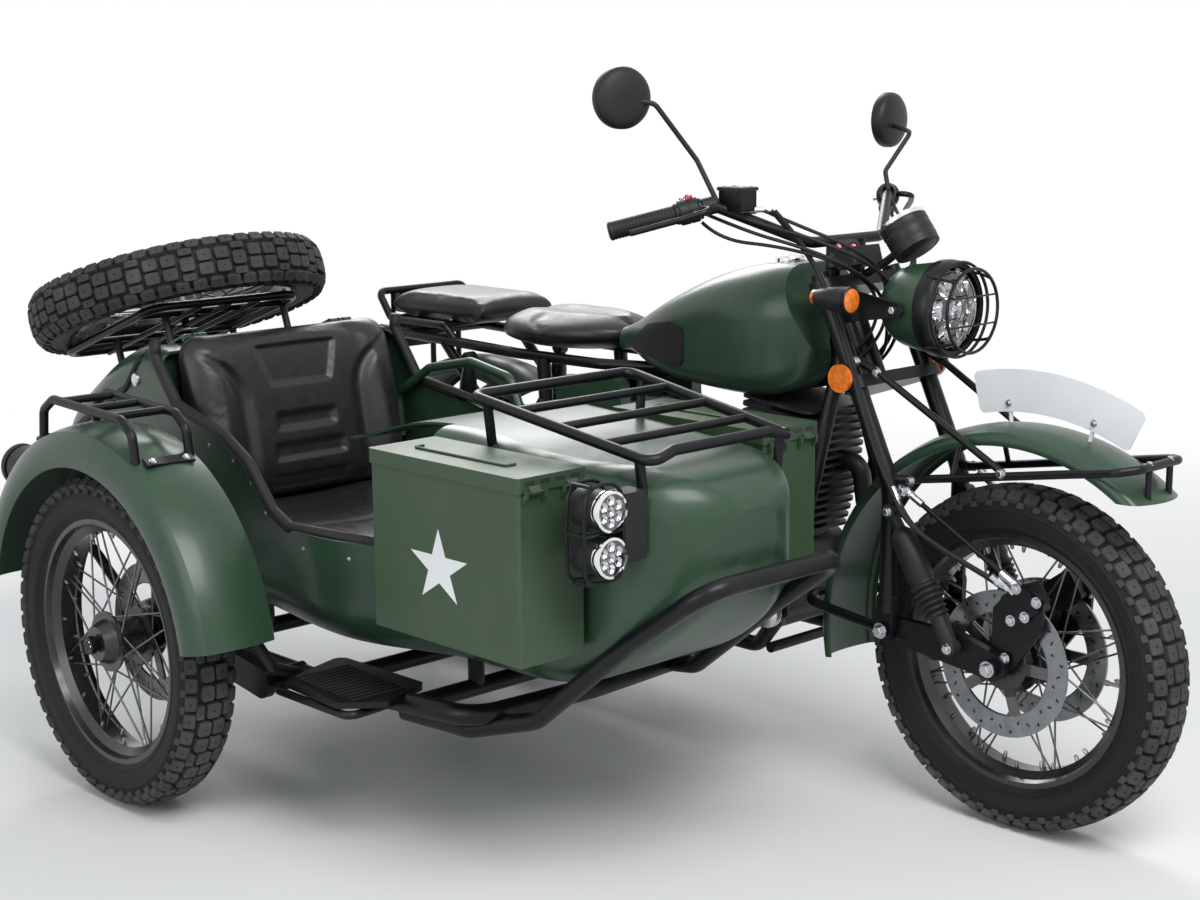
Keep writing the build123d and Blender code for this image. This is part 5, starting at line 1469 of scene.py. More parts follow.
@dataclass
class Suspension(Assembly):
    """Front shock absorbers with gaiters, and rear ones with bare springs.

    The foot and the head of each are given for the left side.
    """

    front_foot: Triple = (-80, 120, 356)
    front_head: Triple = (-226, 120, 596)
    rear_foot: Triple = (-1490, 142, 356)
    rear_head: Triple = (-1440, 142, 770)
    gaiter_ribs: int = 6

    @staticmethod
    def ends(side: int, *spots: Triple) -> list[Vector]:
        """Points on one side, from points given for the left side."""
        return [bike(ahead, side * left, up) for ahead, left, up in spots]

    @staticmethod
    def eye(origin: Vector, radius: float, half: float) -> Piece:
        """A mounting eye of a radius and half width, across the machine."""
        flat = 0.011
        profile = [(0.0, -half), (half, -half), (radius, -flat), (radius, flat), (half, half), (0.0, half)]
        return lathe("eye", profile, facing(origin, (0, 1, 0)), 28)

    def front(self) -> None:
        """Front pair: a dust sleeve over a ribbed gaiter and a lower eye."""
        sleeves, eyes = [], []
        for side in (-1, 1):
            foot, head = self.ends(side, self.front_foot, self.front_head)
            place = facing(foot, head - foot)
            reach = (head - foot).length
            ribs: list[tuple[float, float]] = []
            for rib in range(self.gaiter_ribs):
                start, inner = 0.062 + rib * 0.0115, 0.0185 + rib * 0.0011
                outer = inner + 0.0045
                ribs += [
                    (inner, start), (outer, start + 0.004), (outer, start + 0.0065),
                    (inner, start + 0.0105),
                ]
            profile = [
                (0.0, 0.0), (0.015, 0.004), (0.0165, 0.022), (0.0165, 0.060), *ribs, (0.0235, 0.136),
                (0.0262, 0.142), (0.0262, 0.226), (0.0245, 0.232), (0.0180, 0.238), (0.0120, 0.244),
                (0.0100, reach), (0.0, reach),
            ]
            sleeves.append(lathe(f"sleeve_{side}", profile, place, 40))
            eyes += [self.eye(spot, 0.015, 0.013) for spot in (foot, head)]
        made = joined("front_shock_sleeves", sleeves + eyes)
        settle(made, Body.STEERING, PLASTIC)
        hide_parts("front_shocks")

    def rear(self) -> None:
        """Rear pair: damper, spring seats and a coil."""
        dampers, coils = [], []
        for side in (-1, 1):
            foot, head = self.ends(side, self.rear_foot, self.rear_head)
            place = facing(foot, head - foot)
            reach = (head - foot).length
            profile = [
                (0.0, 0.0), (0.014, 0.004), (0.018, 0.030), (0.018, 0.060), (0.031, 0.064), (0.031, 0.072),
                (0.0215, 0.074), (0.0215, 0.190), (0.010, 0.192), (0.010, 0.286), (0.031, 0.288),
                (0.031, 0.296), (0.022, 0.300), (0.020, 0.360), (0.014, reach - 0.012), (0.0, reach),
            ]
            dampers.append(lathe(f"damper_{side}", profile, place, 36))
            dampers += [self.eye(spot, 0.017, 0.014) for spot in (foot, head)]
            inner = facing(bike(self.rear_foot[0], side * 101, self.rear_foot[2]), (0, side, 0))
            dampers.append(lathe("pin", [(0, 0), (0.008, 0), (0.008, 0.056), (0, 0.056)], inner, 20))
            seed = mesh_object(f"coil_{side}", [(0, 0, 0), (0.001, 0, 0), (0, 0.001, 0)], [(0, 1, 2)])
            sizes = {"turns": 9.0, "radius": 0.0265, "length": 0.212, "wire": 0.0042}
            coil = self.tools.coil.grow(seed, material=BLACK.material(), **sizes)
            coil.data.transform(place @ Matrix.Translation((0, 0, 0.0745)))
            coils.append(coil)
        made = settle(joined("rear_dampers", dampers), Body.MACHINE, BLACK)
        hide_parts("rear_shocks")
        settle(joined("rear_springs", coils), Body.MACHINE, BLACK)

    def build(self) -> None:
        """Builds both pairs."""
        self.front()
        self.rear()
        log.info("suspension")


# ---- Lamps ----


@dataclass
class Headlight(Assembly):
    """The headlight: olive bowl, black rim, lens over a bright reflector, and a wire guard."""

    rim: float = 0.092
    height: float = 974.0

    def place(self) -> Matrix:
        """Place on the lens's axis, over the front axle's station, with Z ahead."""
        return facing(bike(0, 0, self.height), (1, 0, 0), (0, 0, 1))

    def bowl(self) -> Piece:
        """The painted bowl."""
        profile = [(0.0, -0.336)]
        profile += [(0.082 * sin(radians(a)), -0.254 - 0.082 * cos(radians(a))) for a in range(8, 91, 6)]
        profile += [(0.0865, -0.230), (0.0875, -0.212), (0.080, -0.212), (0.078, -0.235), (0.0, -0.300)]
        return lathe("headlight_bowl", profile, self.place(), 64)

    def bezel(self) -> Piece:
        """The black ring that holds the lens."""
        profile = [
            (0.0875, -0.214), (0.0925, -0.210), (0.0940, -0.198), (0.0930, -0.184), (0.0885, -0.177),
            (0.0800, -0.179), (0.0790, -0.186), (0.0790, -0.212),
        ]
        return lathe("headlight_bezel", profile, self.place(), 64, looped=True)

    def reflector(self) -> Piece:
        """The bright bowl behind the lens, with a ring of lamp cells."""
        profile = [(0.0, -0.222), (0.020, -0.221), (0.028, -0.214), (0.060, -0.208), (0.078, -0.190)]
        return lathe("headlight_reflector", profile, self.place(), 48)

    def cells(self) -> Piece:
        """Six lamp cells round one in the middle."""
        cup = [(0.0, -0.214), (0.006, -0.213), (0.0165, -0.196), (0.0185, -0.194), (0.0185, -0.214)]
        seed = lathe("cell", cup, Matrix.Translation((0.043, 0, 0)), 20)
        ring = self.tools.ring.grow(seed, count=6, phase=0.5, material=CHROME.material())
        ring.data.transform(self.place())
        return joined("headlight_cells", [ring, lathe("middle_cell", cup, self.place(), 24)])

    def lens(self) -> Piece:
        """The clear lens, with its thickness."""
        outer = [(0.079 * sin(radians(a)), -0.190 + 0.026 * cos(radians(a))) for a in range(90, -1, -10)]
        inner = [(r * 0.97, h - 0.003) for r, h in reversed(outer)]
        return lathe("headlight_lens", outer + inner, self.place(), 48)

    def guard(self) -> Piece:
        """The guard: two rings, posts and a pair of bars across."""
        place = self.place()
        wires = []
        for radius, level in ((0.0905, -0.168), (0.0800, -0.138)):
            turns = [tau * k / 24 for k in range(24)]
            loop = [place @ Vector((radius * cos(turn), radius * sin(turn), level)) for turn in turns]
            wires.append(hose("guard_ring", loop, 0.0032, 8, closed=True))
        for k in range(4):
            turn = pi / 4 + k * pi / 2
            ring = Vector((cos(turn), sin(turn), 0))
            steps = ((0.0925, -0.196), (0.0915, -0.164), (0.0800, -0.138))
            route = [place @ (ring * radius + Vector((0, 0, level))) for radius, level in steps]
            wires.append(hose("guard_post", route, 0.003, 8))
        for offset in (-0.027, 0.027):
            reach = (0.080**2 - offset**2) ** 0.5
            route = [
                Vector((offset, -reach, -0.138)), Vector((offset, 0, -0.132)),
                Vector((offset, reach, -0.138)),
            ]
            wires.append(hose("guard_bar", [place @ spot for spot in route], 0.0019, 8))
        return joined("headlight_guard", wires)

    def brackets(self) -> Piece:
        """The two plates that carry the lamp from the fork tubes."""
        outline = [(-396, 990), (-372, 940), (-330, 948), (-236, 962), (-228, 974), (-236, 988), (-330, 1004)]
        plates = []
        for side in (-1, 1):
            place = Matrix.Translation(bike(0, side * 94.5, 0)) @ Matrix(
                ((1, 0, 0, 0), (0, 0, 1, -0.0025), (0, 1, 0, 0), (0, 0, 0, 1))
            )
            plates.append(
                slab(f"bracket_{side}", [(x * MM, z * MM) for x, z in outline], 0.005, place, 0.0008)
            )
            boss = facing(bike(-250, side * 78, 975), (0, side, 0))
            plates.append(lathe("boss", [(0, 0), (0.011, 0), (0.011, 0.020), (0, 0.020)], boss, 20))
        return joined("headlight_brackets", plates)

    def build(self) -> None:
        """Builds the lamp in the place of its CAD node."""
        bowl = settle(self.bowl(), Body.STEERING, OLIVE)
        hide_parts("headlight")
        settle(self.bezel(), Body.STEERING, BLACK)
        settle(self.reflector(), Body.STEERING, CHROME)
        settle(self.cells(), Body.STEERING, CHROME)
        settle(self.lens(), Body.STEERING, GLASS)
        settle(self.guard(), Body.STEERING, BLACK)
        settle(self.brackets(), Body.STEERING, BLACK)
        spots = [(bike(-250, side * 97, 975), (0, side, 0)) for side in (-1, 1)]
        self.screw("headlight_screws", spots, HEX, Body.STEERING)
        log.info("headlight")


class SmallLamps(Assembly):
    """Spot lamps with their cage, tail lamps and indicators."""

    def spots(self) -> None:
        """Rims, cells and lenses of the two spot lamps, and the cage round them."""
        for number, level in enumerate((722, 645)):
            place = facing(car(-200, -282, level), (1, 0, 0), (0, 0, 1))
            rim = lathe(
                f"spot_{number}_rim",
                [(0.0345, -0.006), (0.0355, 0.002), (0.0345, 0.008), (0.030, 0.009), (0.0295, -0.004)],
                place,
                40,
                looped=True,
            )
            settle(rim, Body.MACHINE, CHROME)
            cup = [(0.0, -0.002), (0.003, -0.001), (0.0075, 0.005), (0.0085, 0.005), (0.0085, -0.004)]
            seed = lathe("cell", cup, Matrix.Translation((0.0185, 0, 0)), 16)
            ring = self.tools.ring.grow(seed, count=6, phase=0.0, material=CHROME.material())
            ring.data.transform(place)
            cells = joined(f"spot_{number}_cells", [ring, lathe("middle", cup, place, 16)])
            settle(cells, Body.MACHINE, CHROME)
            lens = [
                (0.0, 0.0105), (0.018, 0.0095), (0.0305, 0.0075), (0.0305, 0.0060), (0.018, 0.0080),
                (0.0, 0.0090),
            ]
            settle(lathe(f"spot_{number}_lens", lens, place, 32), Body.MACHINE, GLASS)
        wires = []
        for ahead in (-212, -254):
            loop = [
                car(ahead, -282 + y, z)
                for y, z in (
                    (-40, 604), (-44, 640), (-44, 725), (-36, 758), (0, 768), (36, 758), (44, 725),
                    (44, 640), (40, 604), (0, 600),
                )
            ]
            wires.append(hose("cage_hoop", loop, 0.0035, 8, closed=True))
        crossings = ((-44, 684), (44, 684), (-30, 764), (-30, 600))
        bars = [[(x, -282 + y, z) for x in (-212, -233, -254)] for y, z in crossings]
        bars.append([(-212, -326, 684), (-210, -282, 684), (-212, -238, 684)])
        wires += [hose("cage_bar", [car(*spot) for spot in bar], 0.0035, 8) for bar in bars]
        settle(joined("spot_lamp_cage", wires), Body.MACHINE, BLACK)

    def tails(self) -> None:
        """Red lenses of the tail lamps."""
        low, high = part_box("sidecar_fender")
        fender_middle = (low.y + high.y) / 2
        place = facing(Vector((FRONT_AXLE.x - 1.714, fender_middle, 0.625)), (-1, 0, 0))
        lens = [(0.0415, -0.010), (0.0425, 0.004), (0.038, 0.012), (0.020, 0.016), (0.0, 0.017)]
        settle(lathe("tail_lamp_lens", lens, place, 40), Body.MACHINE, RED)
        ring = [(0.0425, -0.014), (0.0455, -0.013), (0.0455, -0.002), (0.0425, 0.0)]
        settle(lathe("tail_lamp_ring", ring, place, 40, looped=True), Body.MACHINE, PLASTIC)
        dome = [(0.0, -0.008), (0.032, -0.008), (0.034, 0.012), (0.031, 0.024), (0.018, 0.032), (0.0, 0.035)]
        rear = facing(bike(-1815, 0, 858), (-1, 0, 0))
        settle(lathe("rear_lamp_lens", dome, rear, 40), Body.MACHINE, RED)

    def indicators(self) -> None:
        """Rims, lenses and shells of the indicators."""
        for side, label in ((-1, "right"), (1, "left")):
            lens = facing(bike(-296, side * 168, 996), (1, 0, 0))
            ring = [(0.0245, -0.006), (0.0262, -0.004), (0.0262, 0.003), (0.0240, 0.005)]
            settle(lathe(f"indicator_{label}_ring", ring, lens, 32, looped=True), Body.STEERING, BLACK)
            dome = [(0.0242, 0.0), (0.0225, 0.004), (0.0140, 0.007), (0.0, 0.008)]
            settle(lathe(f"indicator_{label}_lens", dome, lens, 32), Body.STEERING, ORANGE)
            shell = [
                (0.0, -0.092), (0.010, -0.090), (0.0155, -0.080), (0.0215, -0.050), (0.0252, -0.020),
                (0.0252, -0.003),
            ]
            settle(lathe(f"indicator_{label}_shell", shell, lens, 32), Body.STEERING, PLASTIC)

    def build(self) -> None:
        """Builds the small lamps."""
        self.spots()
        self.tails()
        self.indicators()
        log.info("small lamps")


# ---- Handlebar ----


@dataclass
class Controls(Assembly):
    """Grips, switch pods, reservoir cover, mirrors and dials."""

    grip_end: Triple = (-675, 420, 1122)
    grip_root: Triple = (-555, 270, 1168)

    def grip_place(self, side: int) -> Matrix:
        """Place at the outer end of a grip, with Z inward."""
        end = bike(self.grip_end[0], side * self.grip_end[1], self.grip_end[2])
        root = bike(self.grip_root[0], side * self.grip_root[1], self.grip_root[2])
        return facing(end, root - end)

    def grips(self) -> None:
        """Ribbed rubber sleeves with end flanges."""
        profile: list[tuple[float, float]] = [
            (0.0, -0.008), (0.014, -0.008), (0.0185, -0.005), (0.0185, -0.001),
        ]
        for rib in range(19):
            start = 0.002 + rib * 0.0064
            profile += [
                (0.0172, start), (0.0180, start + 0.001), (0.0180, start + 0.0044),
                (0.0172, start + 0.0054),
            ]
        profile += [(0.0205, 0.1245), (0.0205, 0.1285), (0.0, 0.1285)]
        sleeves = [lathe(f"grip_{side}", profile, self.grip_place(side), 36) for side in (-1, 1)]
        settle(joined("grips", sleeves), Body.STEERING, RUBBER)

    def pods(self) -> None:
        """Switch pods beside the grips, with a stop button on the right one."""
        pods, spots = [], []
        for side in (-1, 1):
            place = self.grip_place(side)
            profile = [
                (0.0, 0.130), (0.0215, 0.131), (0.0245, 0.134), (0.0245, 0.150), (0.0232, 0.1505),
                (0.0232, 0.1525), (0.0245, 0.153), (0.0245, 0.168), (0.0215, 0.171), (0.0, 0.172),
            ]
            pods.append(lathe(f"pod_{side}", profile, place, 28))
            spots.append((place @ Vector((0.0235, 0.004, 0.142)), place.to_3x3() @ Vector((1, 0.2, 0))))
            spots.append((place @ Vector((-0.006, 0.0245, 0.160)), place.to_3x3() @ Vector((-0.2, 1, 0))))
            clamp = [(0.0125, 0.178), (0.0175, 0.179), (0.0175, 0.205), (0.0125, 0.206)]
            pods.append(lathe(f"clamp_{side}", clamp, place, 24, looped=True))
        settle(joined("switch_pods", pods), Body.STEERING, PLASTIC)
        self.screw("pod_screws", spots, CAP_SCREW, Body.STEERING)
        right = self.grip_place(-1)
        top = right @ Vector((0.0, 0.0, 0.150))
        button = facing(top + Vector((0, 0, 0.0225)), (0, 0, 1))
        knob = [(0.0, 0.0095), (0.006, 0.009), (0.0078, 0.006), (0.0078, 0.0)]
        settle(lathe("stop_button", knob, button, 20), Body.STEERING, RED)

    def reservoir(self) -> None:
        """Cover of the brake fluid reservoir, with its screws."""
        low, high = bike(-556, -256, 1196), bike(-492, -208, 1201)
        points, faces = block(high.x - low.x, high.y - low.y, 0.007, 0.0015)
        place = Matrix.Translation(((low.x + high.x) / 2, (low.y + high.y) / 2, 1.1955))
        cover = mesh_object("reservoir_cover", points, faces, place, smooth=False)
        settle(cover, Body.STEERING, PLASTIC)
        spots = [(bike(x, y, 1202.5), (0, 0, 1)) for x in (-547, -501) for y in (-247, -217)]
        self.screw("reservoir_screws", spots, RIVET, Body.STEERING)

    def mirrors(self) -> None:
        """Domed shells and glass of the round mirrors."""
        shells = []
        heads = {
            "right": ((-669, -398, 1372), (0.96, -0.27, 0)), "left": ((-662, 408, 1313), (0.99, 0.14, 0))
        }
        for label, (centre, ahead) in heads.items():
            place = facing(bike(*centre), ahead)
            shell = [
                (0.0540, -0.0130), (0.0575, -0.0135), (0.0590, -0.0100), (0.0590, 0.0030), (0.0570, 0.0090),
                (0.0500, 0.0150), (0.0380, 0.0190), (0.0200, 0.0215), (0.0, 0.0220),
            ]
            shells.append(lathe(f"shell_{label}", shell, place, 56))
            glass = [(0.0, -0.0126), (0.0545, -0.0124), (0.0545, -0.0118), (0.0, -0.0118)]
            settle(lathe(f"mirror_{label}_glass", glass, place, 56), Body.STEERING, MIRROR)
        settle(joined("mirror_shells", shells), Body.STEERING, PLASTIC)

    def dials(self) -> None:
        """Rings, face, tick marks and needle of the speed dial, and the warning lights."""
        place = facing(bike(-268, 0, 1082), (-0.62, 0, 0.78), (0, 0, 1))
        can = [
            (0.0, -0.004), (0.034, -0.003), (0.0465, 0.006), (0.0475, 0.018), (0.0468, 0.0195),
            (0.0468, 0.0225), (0.0475, 0.024), (0.0475, 0.040), (0.0468, 0.0415), (0.0468, 0.0445),
            (0.0480, 0.046), (0.0480, 0.064), (0.0440, 0.066), (0.0430, 0.0625), (0.0, 0.0625),
        ]
        settle(lathe("dial_can", can, place, 56), Body.STEERING, PLASTIC)
        ring = [(0.0480, 0.058), (0.0492, 0.060), (0.0488, 0.066), (0.0440, 0.0672), (0.0432, 0.064)]
        settle(lathe("dial_ring", ring, place, 56, looped=True), Body.STEERING, CHROME)
        points, faces = block(0.007, 0.0012, 0.0008, 0.0002)
        seed = mesh_object(
            "tick", [point + Vector((0.036, 0, 0.0625)) for point in points], faces, smooth=False,
        )
        ticks = self.tools.ring.grow(seed, count=30, phase=0.0, material=WHITE.material())
        settle_grown(ticks, Body.STEERING, place)
        needle_points, needle_faces = block(0.036, 0.0018, 0.001, 0.0003)
        turned = Matrix.Rotation(radians(-140), 4, "Z") @ Matrix.Translation((0.014, 0, 0.0632))
        needle = mesh_object("needle", needle_points, needle_faces, place @ turned, smooth=False)
        settle(needle, Body.STEERING, RED)
        self.warning_panel()

    def warning_panel(self) -> None:
        """Black panel on the console, with two red caps in raised rings."""
        ahead = (0.60, -0.72, 0.34)
        panel = facing(bike(-419, -33, 1072), ahead)
        outline = [
            (-0.034, -0.030), (0.010, -0.030), (0.024, -0.022), (0.026, 0.022), (0.012, 0.032),
            (-0.034, 0.034),
        ]
        pieces = [slab("panel", outline, 0.018, panel @ Matrix.Translation((0, 0, -0.018)), 0.003)]
        for number, across in enumerate((-0.0145, 0.0145)):
            spot = panel @ Matrix.Translation((0.008, across, 0.0))
            collar = [
                (0.0075, -0.002), (0.0110, -0.002), (0.0110, 0.0035), (0.0095, 0.0045), (0.0075, 0.0035),
            ]
            pieces.append(lathe(f"collar_{number}", collar, spot, 28, looped=True))
            cap = [(0.0074, -0.001), (0.0074, 0.0035), (0.0055, 0.0055), (0.0, 0.0062)]
            settle(lathe(f"warning_cap_{number}", cap, spot, 24), Body.STEERING, RED)
        settle(joined("warning_panel", pieces), Body.STEERING, PLASTIC)

    def build(self) -> None:
        """Builds the controls."""
        self.grips()
        self.pods()
        self.reservoir()
        self.mirrors()
        self.dials()
        log.info("controls")


# ---- Cables ----


class Cables(Assembly):
    """Control cables and brake hoses, held at both ends."""

    def brake_hoses(self) -> None:
        """Two hoses down the right fork tube to the caliper, with plated unions."""
        hoses = []
        for shift in (0, 9):
            route = [
                bike(-470 + shift, -196, 1158),
                bike(-430 + shift, -150, 1090),
                bike(-372, -134 - shift, 1000),
                bike(-330, -128 - shift, 900),
                bike(-292, -131 - shift, 800),
                bike(-250, -131 - shift, 700),
                bike(-212, -132 - shift, 640),
                bike(-176, -134 - shift, 586),
                bike(-120 + shift, -130, 548),
                bike(-56 + shift, -120, 522),
                bike(-8 + shift, -104, 498),
                bike(20 + shift, -94, 480),
            ]
            hoses.append(hose(f"brake_hose_{shift}", route, 0.0042, 10))
        settle(joined("brake_hoses", hoses), Body.STEERING, RUBBER)
        unions = []
        spans = (
            ((-524, -232, 1157), (-486, -197, 1159)),
            ((8, -104, 502), (34, -90, 476)),
            ((-2, -112, 508), (14, -98, 488)),
            ((-214, -134, 646), (-196, -137, 612)),
        )
        for start, end in spans:
            first, last = bike(*start), bike(*end)
            reach = (last - first).length
            profile = [
                (0, 0), (0.0062, 0), (0.0062, reach * 0.4), (0.0078, reach * 0.42), (0.0078, reach * 0.7),
                (0.0055, reach * 0.72), (0.0055, reach), (0, reach),
            ]
            unions.append(lathe("union", profile, facing(first, last - first), 12))
        settle(joined("brake_hose_unions", unions), Body.STEERING, ZINC)

    def torque_rods(self) -> None:
        """Rods from the fork to the caliper plates, with plated ends."""
        rods, ends, spots = [], [], []
        for side in (-1, 1):
            start, end = bike(-196, side * 118, 640), bike(52, side * 100, 492)
            aim = (end - start).normalized()
            rods.append(hose(f"rod_{side}", [start, (start + end) / 2, end], 0.0052, 10))
            for origin, sign in ((start, 1), (end, -1)):
                collar = [(0, 0), (0.0085, 0), (0.0085, 0.014), (0.0068, 0.016), (0.0068, 0.044), (0, 0.046)]
                ends.append(lathe("collar", collar, facing(origin, aim * sign), 12))
                spots.append((origin + Vector((0, side * 0.0085, 0)), (0, side, 0)))
        settle(joined("torque_rods", rods), Body.STEERING, BLACK)
        settle(joined("torque_rod_ends", ends), Body.STEERING, ZINC)
        self.screw("torque_rod_bolts", spots, HEX, Body.STEERING)

    def control_cables(self) -> None:
        """Cables from the levers and the throttle, round the steering head into the frame."""
        bundle = [
            [
                (-562, -262, 1165), (-501, -215, 1135), (-412, -160, 1109), (-330, -104, 1072),
                (-338, 20, 1008), (-352, 40, 930), (-385, 54, 872), (-440, 48, 828),
            ],
            [
                (-582, -258, 1149), (-505, -222, 1116), (-420, -168, 1090), (-345, -108, 1052),
                (-349, 0, 990), (-356, 24, 915), (-388, 52, 858), (-440, 46, 812),
            ],
            [
                (-589, -262, 1133), (-552, -250, 1100), (-452, -190, 1090), (-358, -123, 1060),
                (-351, -20, 1002), (-358, -8, 925), (-392, -52, 866), (-442, -48, 818),
            ],
            [
                (-489, -200, 1158), (-423, -165, 1128), (-345, -110, 1091), (-336, -20, 1040),
                (-344, 8, 965), (-352, -6, 905), (-386, -54, 850), (-438, -52, 806),
            ],
            [
                (-540, 258, 1160), (-490, 214, 1134), (-420, 160, 1108), (-352, 110, 1070),
                (-352, 60, 1000), (-362, 54, 925), (-396, 58, 866), (-446, 52, 822),
            ],
            [
                (-552, 262, 1146), (-500, 222, 1112), (-424, 166, 1082), (-356, 116, 1044), (-350, 66, 980),
                (-360, 62, 905), (-398, 64, 848), (-450, 58, 806),
            ],
        ]
        runs = [hose("cable", [bike(*spot) for spot in route], 0.0036, 8) for route in bundle]
        made = joined("control_cables", runs)
        made.data.materials.append(RUBBER.material())
        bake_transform(made)

    def build(self) -> None:
        """Builds the cables."""
        self.brake_hoses()
        self.torque_rods()
        self.control_cables()
        log.info("cables")


# ---- Fasteners ----


class Fasteners(Assembly):
    """Bolts and screws over the whole vehicle."""

    def fork(self) -> None:
        """Axle nuts and the bolts of the fork, links and calipers."""
        large = [(bike(0, side * 118, 330), (0, side, 0)) for side in (-1, 1)]
        large += [(bike(-243, side * 127, 357), (0, side, 0)) for side in (-1, 1)]
        self.screw("axle_nuts", large, HEX_LARGE, Body.STEERING)
        medium = []
        bolts = (
            (-80, 134, 356), (-226, 134, 596), (84, 91, 468), (30, 91, 424), (60, 91, 436), (20, 91, 350),
            (-198, 101, 655), (4, 99, 697), (-322, 115, 872), (-279, 106, 855),
        )
        for side in (-1, 1):
            medium += [(bike(ahead, side * left, up), (0, side, 0)) for ahead, left, up in bolts]
        self.screw("fork_bolts", medium, HEX, Body.STEERING)

    def fender(self) -> None:
        """Bolts of the front mudguard and the number plate."""
        spots = []
        for angle in (74, 96):
            turn = radians(angle)
            reach = 482
            spots.append((bike(reach * cos(turn), -1.2, 330 + reach * sin(turn)), (0, -1, 0)))
            spots.append((bike(reach * cos(turn), 1.2, 330 + reach * sin(turn)), (0, 1, 0)))
        self.screw("plate_bolts", spots, HEX_SMALL, Body.STEERING)
        stays = [(bike(268, side * 34, 741), (0, 0, 1)) for side in (-1, 1)]
        self.screw("fender_bolts", stays, HEX_SMALL, Body.STEERING)

    def hull(self) -> None:
        """Rivets under the cockpit's edge, and the trunk lock."""
        edge = [
            (-1400, 712), (-1320, 690), (-1238, 668), (-1180, 632), (-1130, 580), (-1010, 528), (-900, 522),
            (-800, 520),
        ]
        spots = [on_surface("sidecar_body", car(x, -420, z), (0, 1, 0)) for x, z in edge]
        self.screw("coaming_rivets", spots, RIVET, Body.MACHINE)
        point, normal = on_surface("sidecar_body", car(-1597, -500, 793), (0, 1, 0))
        lock = [(0.0, 0.007), (0.009, 0.0065), (0.0135, 0.004), (0.0145, 0.0), (0.0145, -0.004)]
        settle(lathe("trunk_lock", lock, facing(point, normal), 28), Body.MACHINE, ZINC)

    def racks(self) -> None:
        """Straps and bolts of the fender rack, the frame's ball joint and the rear axle nuts."""
        spots = []
        low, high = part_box("sidecar_fender")
        y = (low.y + high.y) / 2
        for number, ahead in enumerate((-1130, -1530)):
            start = Vector((FRONT_AXLE.x + ahead * MM, y, 1.0))
            point, normal = on_surface("sidecar_fender", start, (0, 0, -1))
            place = facing(point - normal * 0.003, normal, (0, 1, 0))
            outline = [(-0.052, -0.012), (0.052, -0.012), (0.052, 0.012), (-0.052, 0.012)]
            strap = slab(f"fender_rack_strap_{number}", outline, 0.0065, place, 0.0015)
            settle(strap, Body.MACHINE, BLACK)
            across = place.col[0].to_3d() * 0.036
            spots += [(point + across * side + normal * 0.003, normal) for side in (-1, 1)]
        self.screw("fender_rack_bolts", spots, HEX_SMALL, Body.MACHINE)
        housing = [
            (0.0, 0.024), (0.020, 0.024), (0.026, 0.021), (0.030, 0.014), (0.030, 0.002), (0.026, -0.004),
            (0.018, -0.006),
        ]
        place = facing(bike(-494, -160, 352), (0, -1, 0))
        settle(lathe("ball_joint_housing", housing, place, 40), Body.MACHINE, ZINC)
        joint = [(bike(-494, -184, 352), (0, -1, 0))]
        self.screw("ball_joint_nut", joint, HEX_LARGE, Body.MACHINE)
        rear = [(bike(-1550, side * 131, 330), (0, side, 0)) for side in (-1, 1)]
        rear += [(car(-1328, -598, 330), (0, -1, 0))]
        self.screw("rear_axle_nuts", rear, HEX_LARGE, Body.MACHINE)

    def build(self) -> None:
        """Builds the fasteners."""
        self.fork()
        self.fender()
        self.hull()
        self.racks()
        log.info("fasteners")


# ---- Sidecar dressing ----


@dataclass
class BoxDressing(Assembly):
    """Star and hinge slots of the side boxes."""

    star_radius: float = 0.069
    star_middle: tuple[float, float] = (-526, 586)
    star_stretch: float = 1.16

    def star(self) -> None:
        """The plain star painted on the outer face of the right box."""
        low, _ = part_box("side_boxes")
        points = []
        for k in range(10):
            reach = self.star_radius * (1.0 if k % 2 == 0 else 0.382)
            turn = pi / 2 + k * pi / 5
            points.append((reach * cos(turn) * self.star_stretch, reach * sin(turn)))
        centre = Vector((FRONT_AXLE.x + self.star_middle[0] * MM, low.y, self.star_middle[1] * MM))
        place = Matrix.Translation(centre) @ Matrix(((1, 0, 0, 0), (0, 0, -1, 0), (0, 1, 0, 0), (0, 0, 0, 1)))
        rim = [(x, y, level) for level in (0.0, 0.0003) for x, y in points]
        count = len(points)
        rim += [(0, 0, 0.0003), (0, 0, 0.0)]
        faces: Faces = []
        for k in range(count):
            n = (k + 1) % count
            faces += [(k, n, count + n, count + k), (count + k, count + n, 2 * count), (n, k, 2 * count + 1)]
        settle(mesh_object("box_star", rim, faces, place, smooth=False), Body.MACHINE, WHITE)

    def slots(self) -> None:
        """Hinge slots along the front edge of each lid."""
        for side, body, label in ((-1, Body.RIGHT_LID, "right"), (1, Body.LEFT_LID, "left")):
            low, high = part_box(f"box_lid_{label}")
            front = FRONT_AXLE.x - 0.317 + 0.0032
            points, faces = block(0.021, 0.007, 0.0010, 0.0003)
            turned = Matrix(((0, 0, 1, 0), (1, 0, 0, 0), (0, 1, 0, 0), (0, 0, 0, 1)))
            seed = mesh_object(f"lid_{label}_slots", points, faces, smooth=False)
            # The slots are thin near-black blocks on the lid: painted shade where the slots open
            grown = self.tools.row.grow(seed, count=4, pitch=0.034, material=SLOT_SHADE.material())
            middle_y = (low.y + high.y) / 2
            place = Matrix.Translation((front, middle_y - 0.051, high.z - 0.014)) @ turned
            settle_grown(grown, body, place)

    def build(self) -> None:
        """Builds the dressing."""
        self.star()
        self.slots()
        log.info("box dressing")


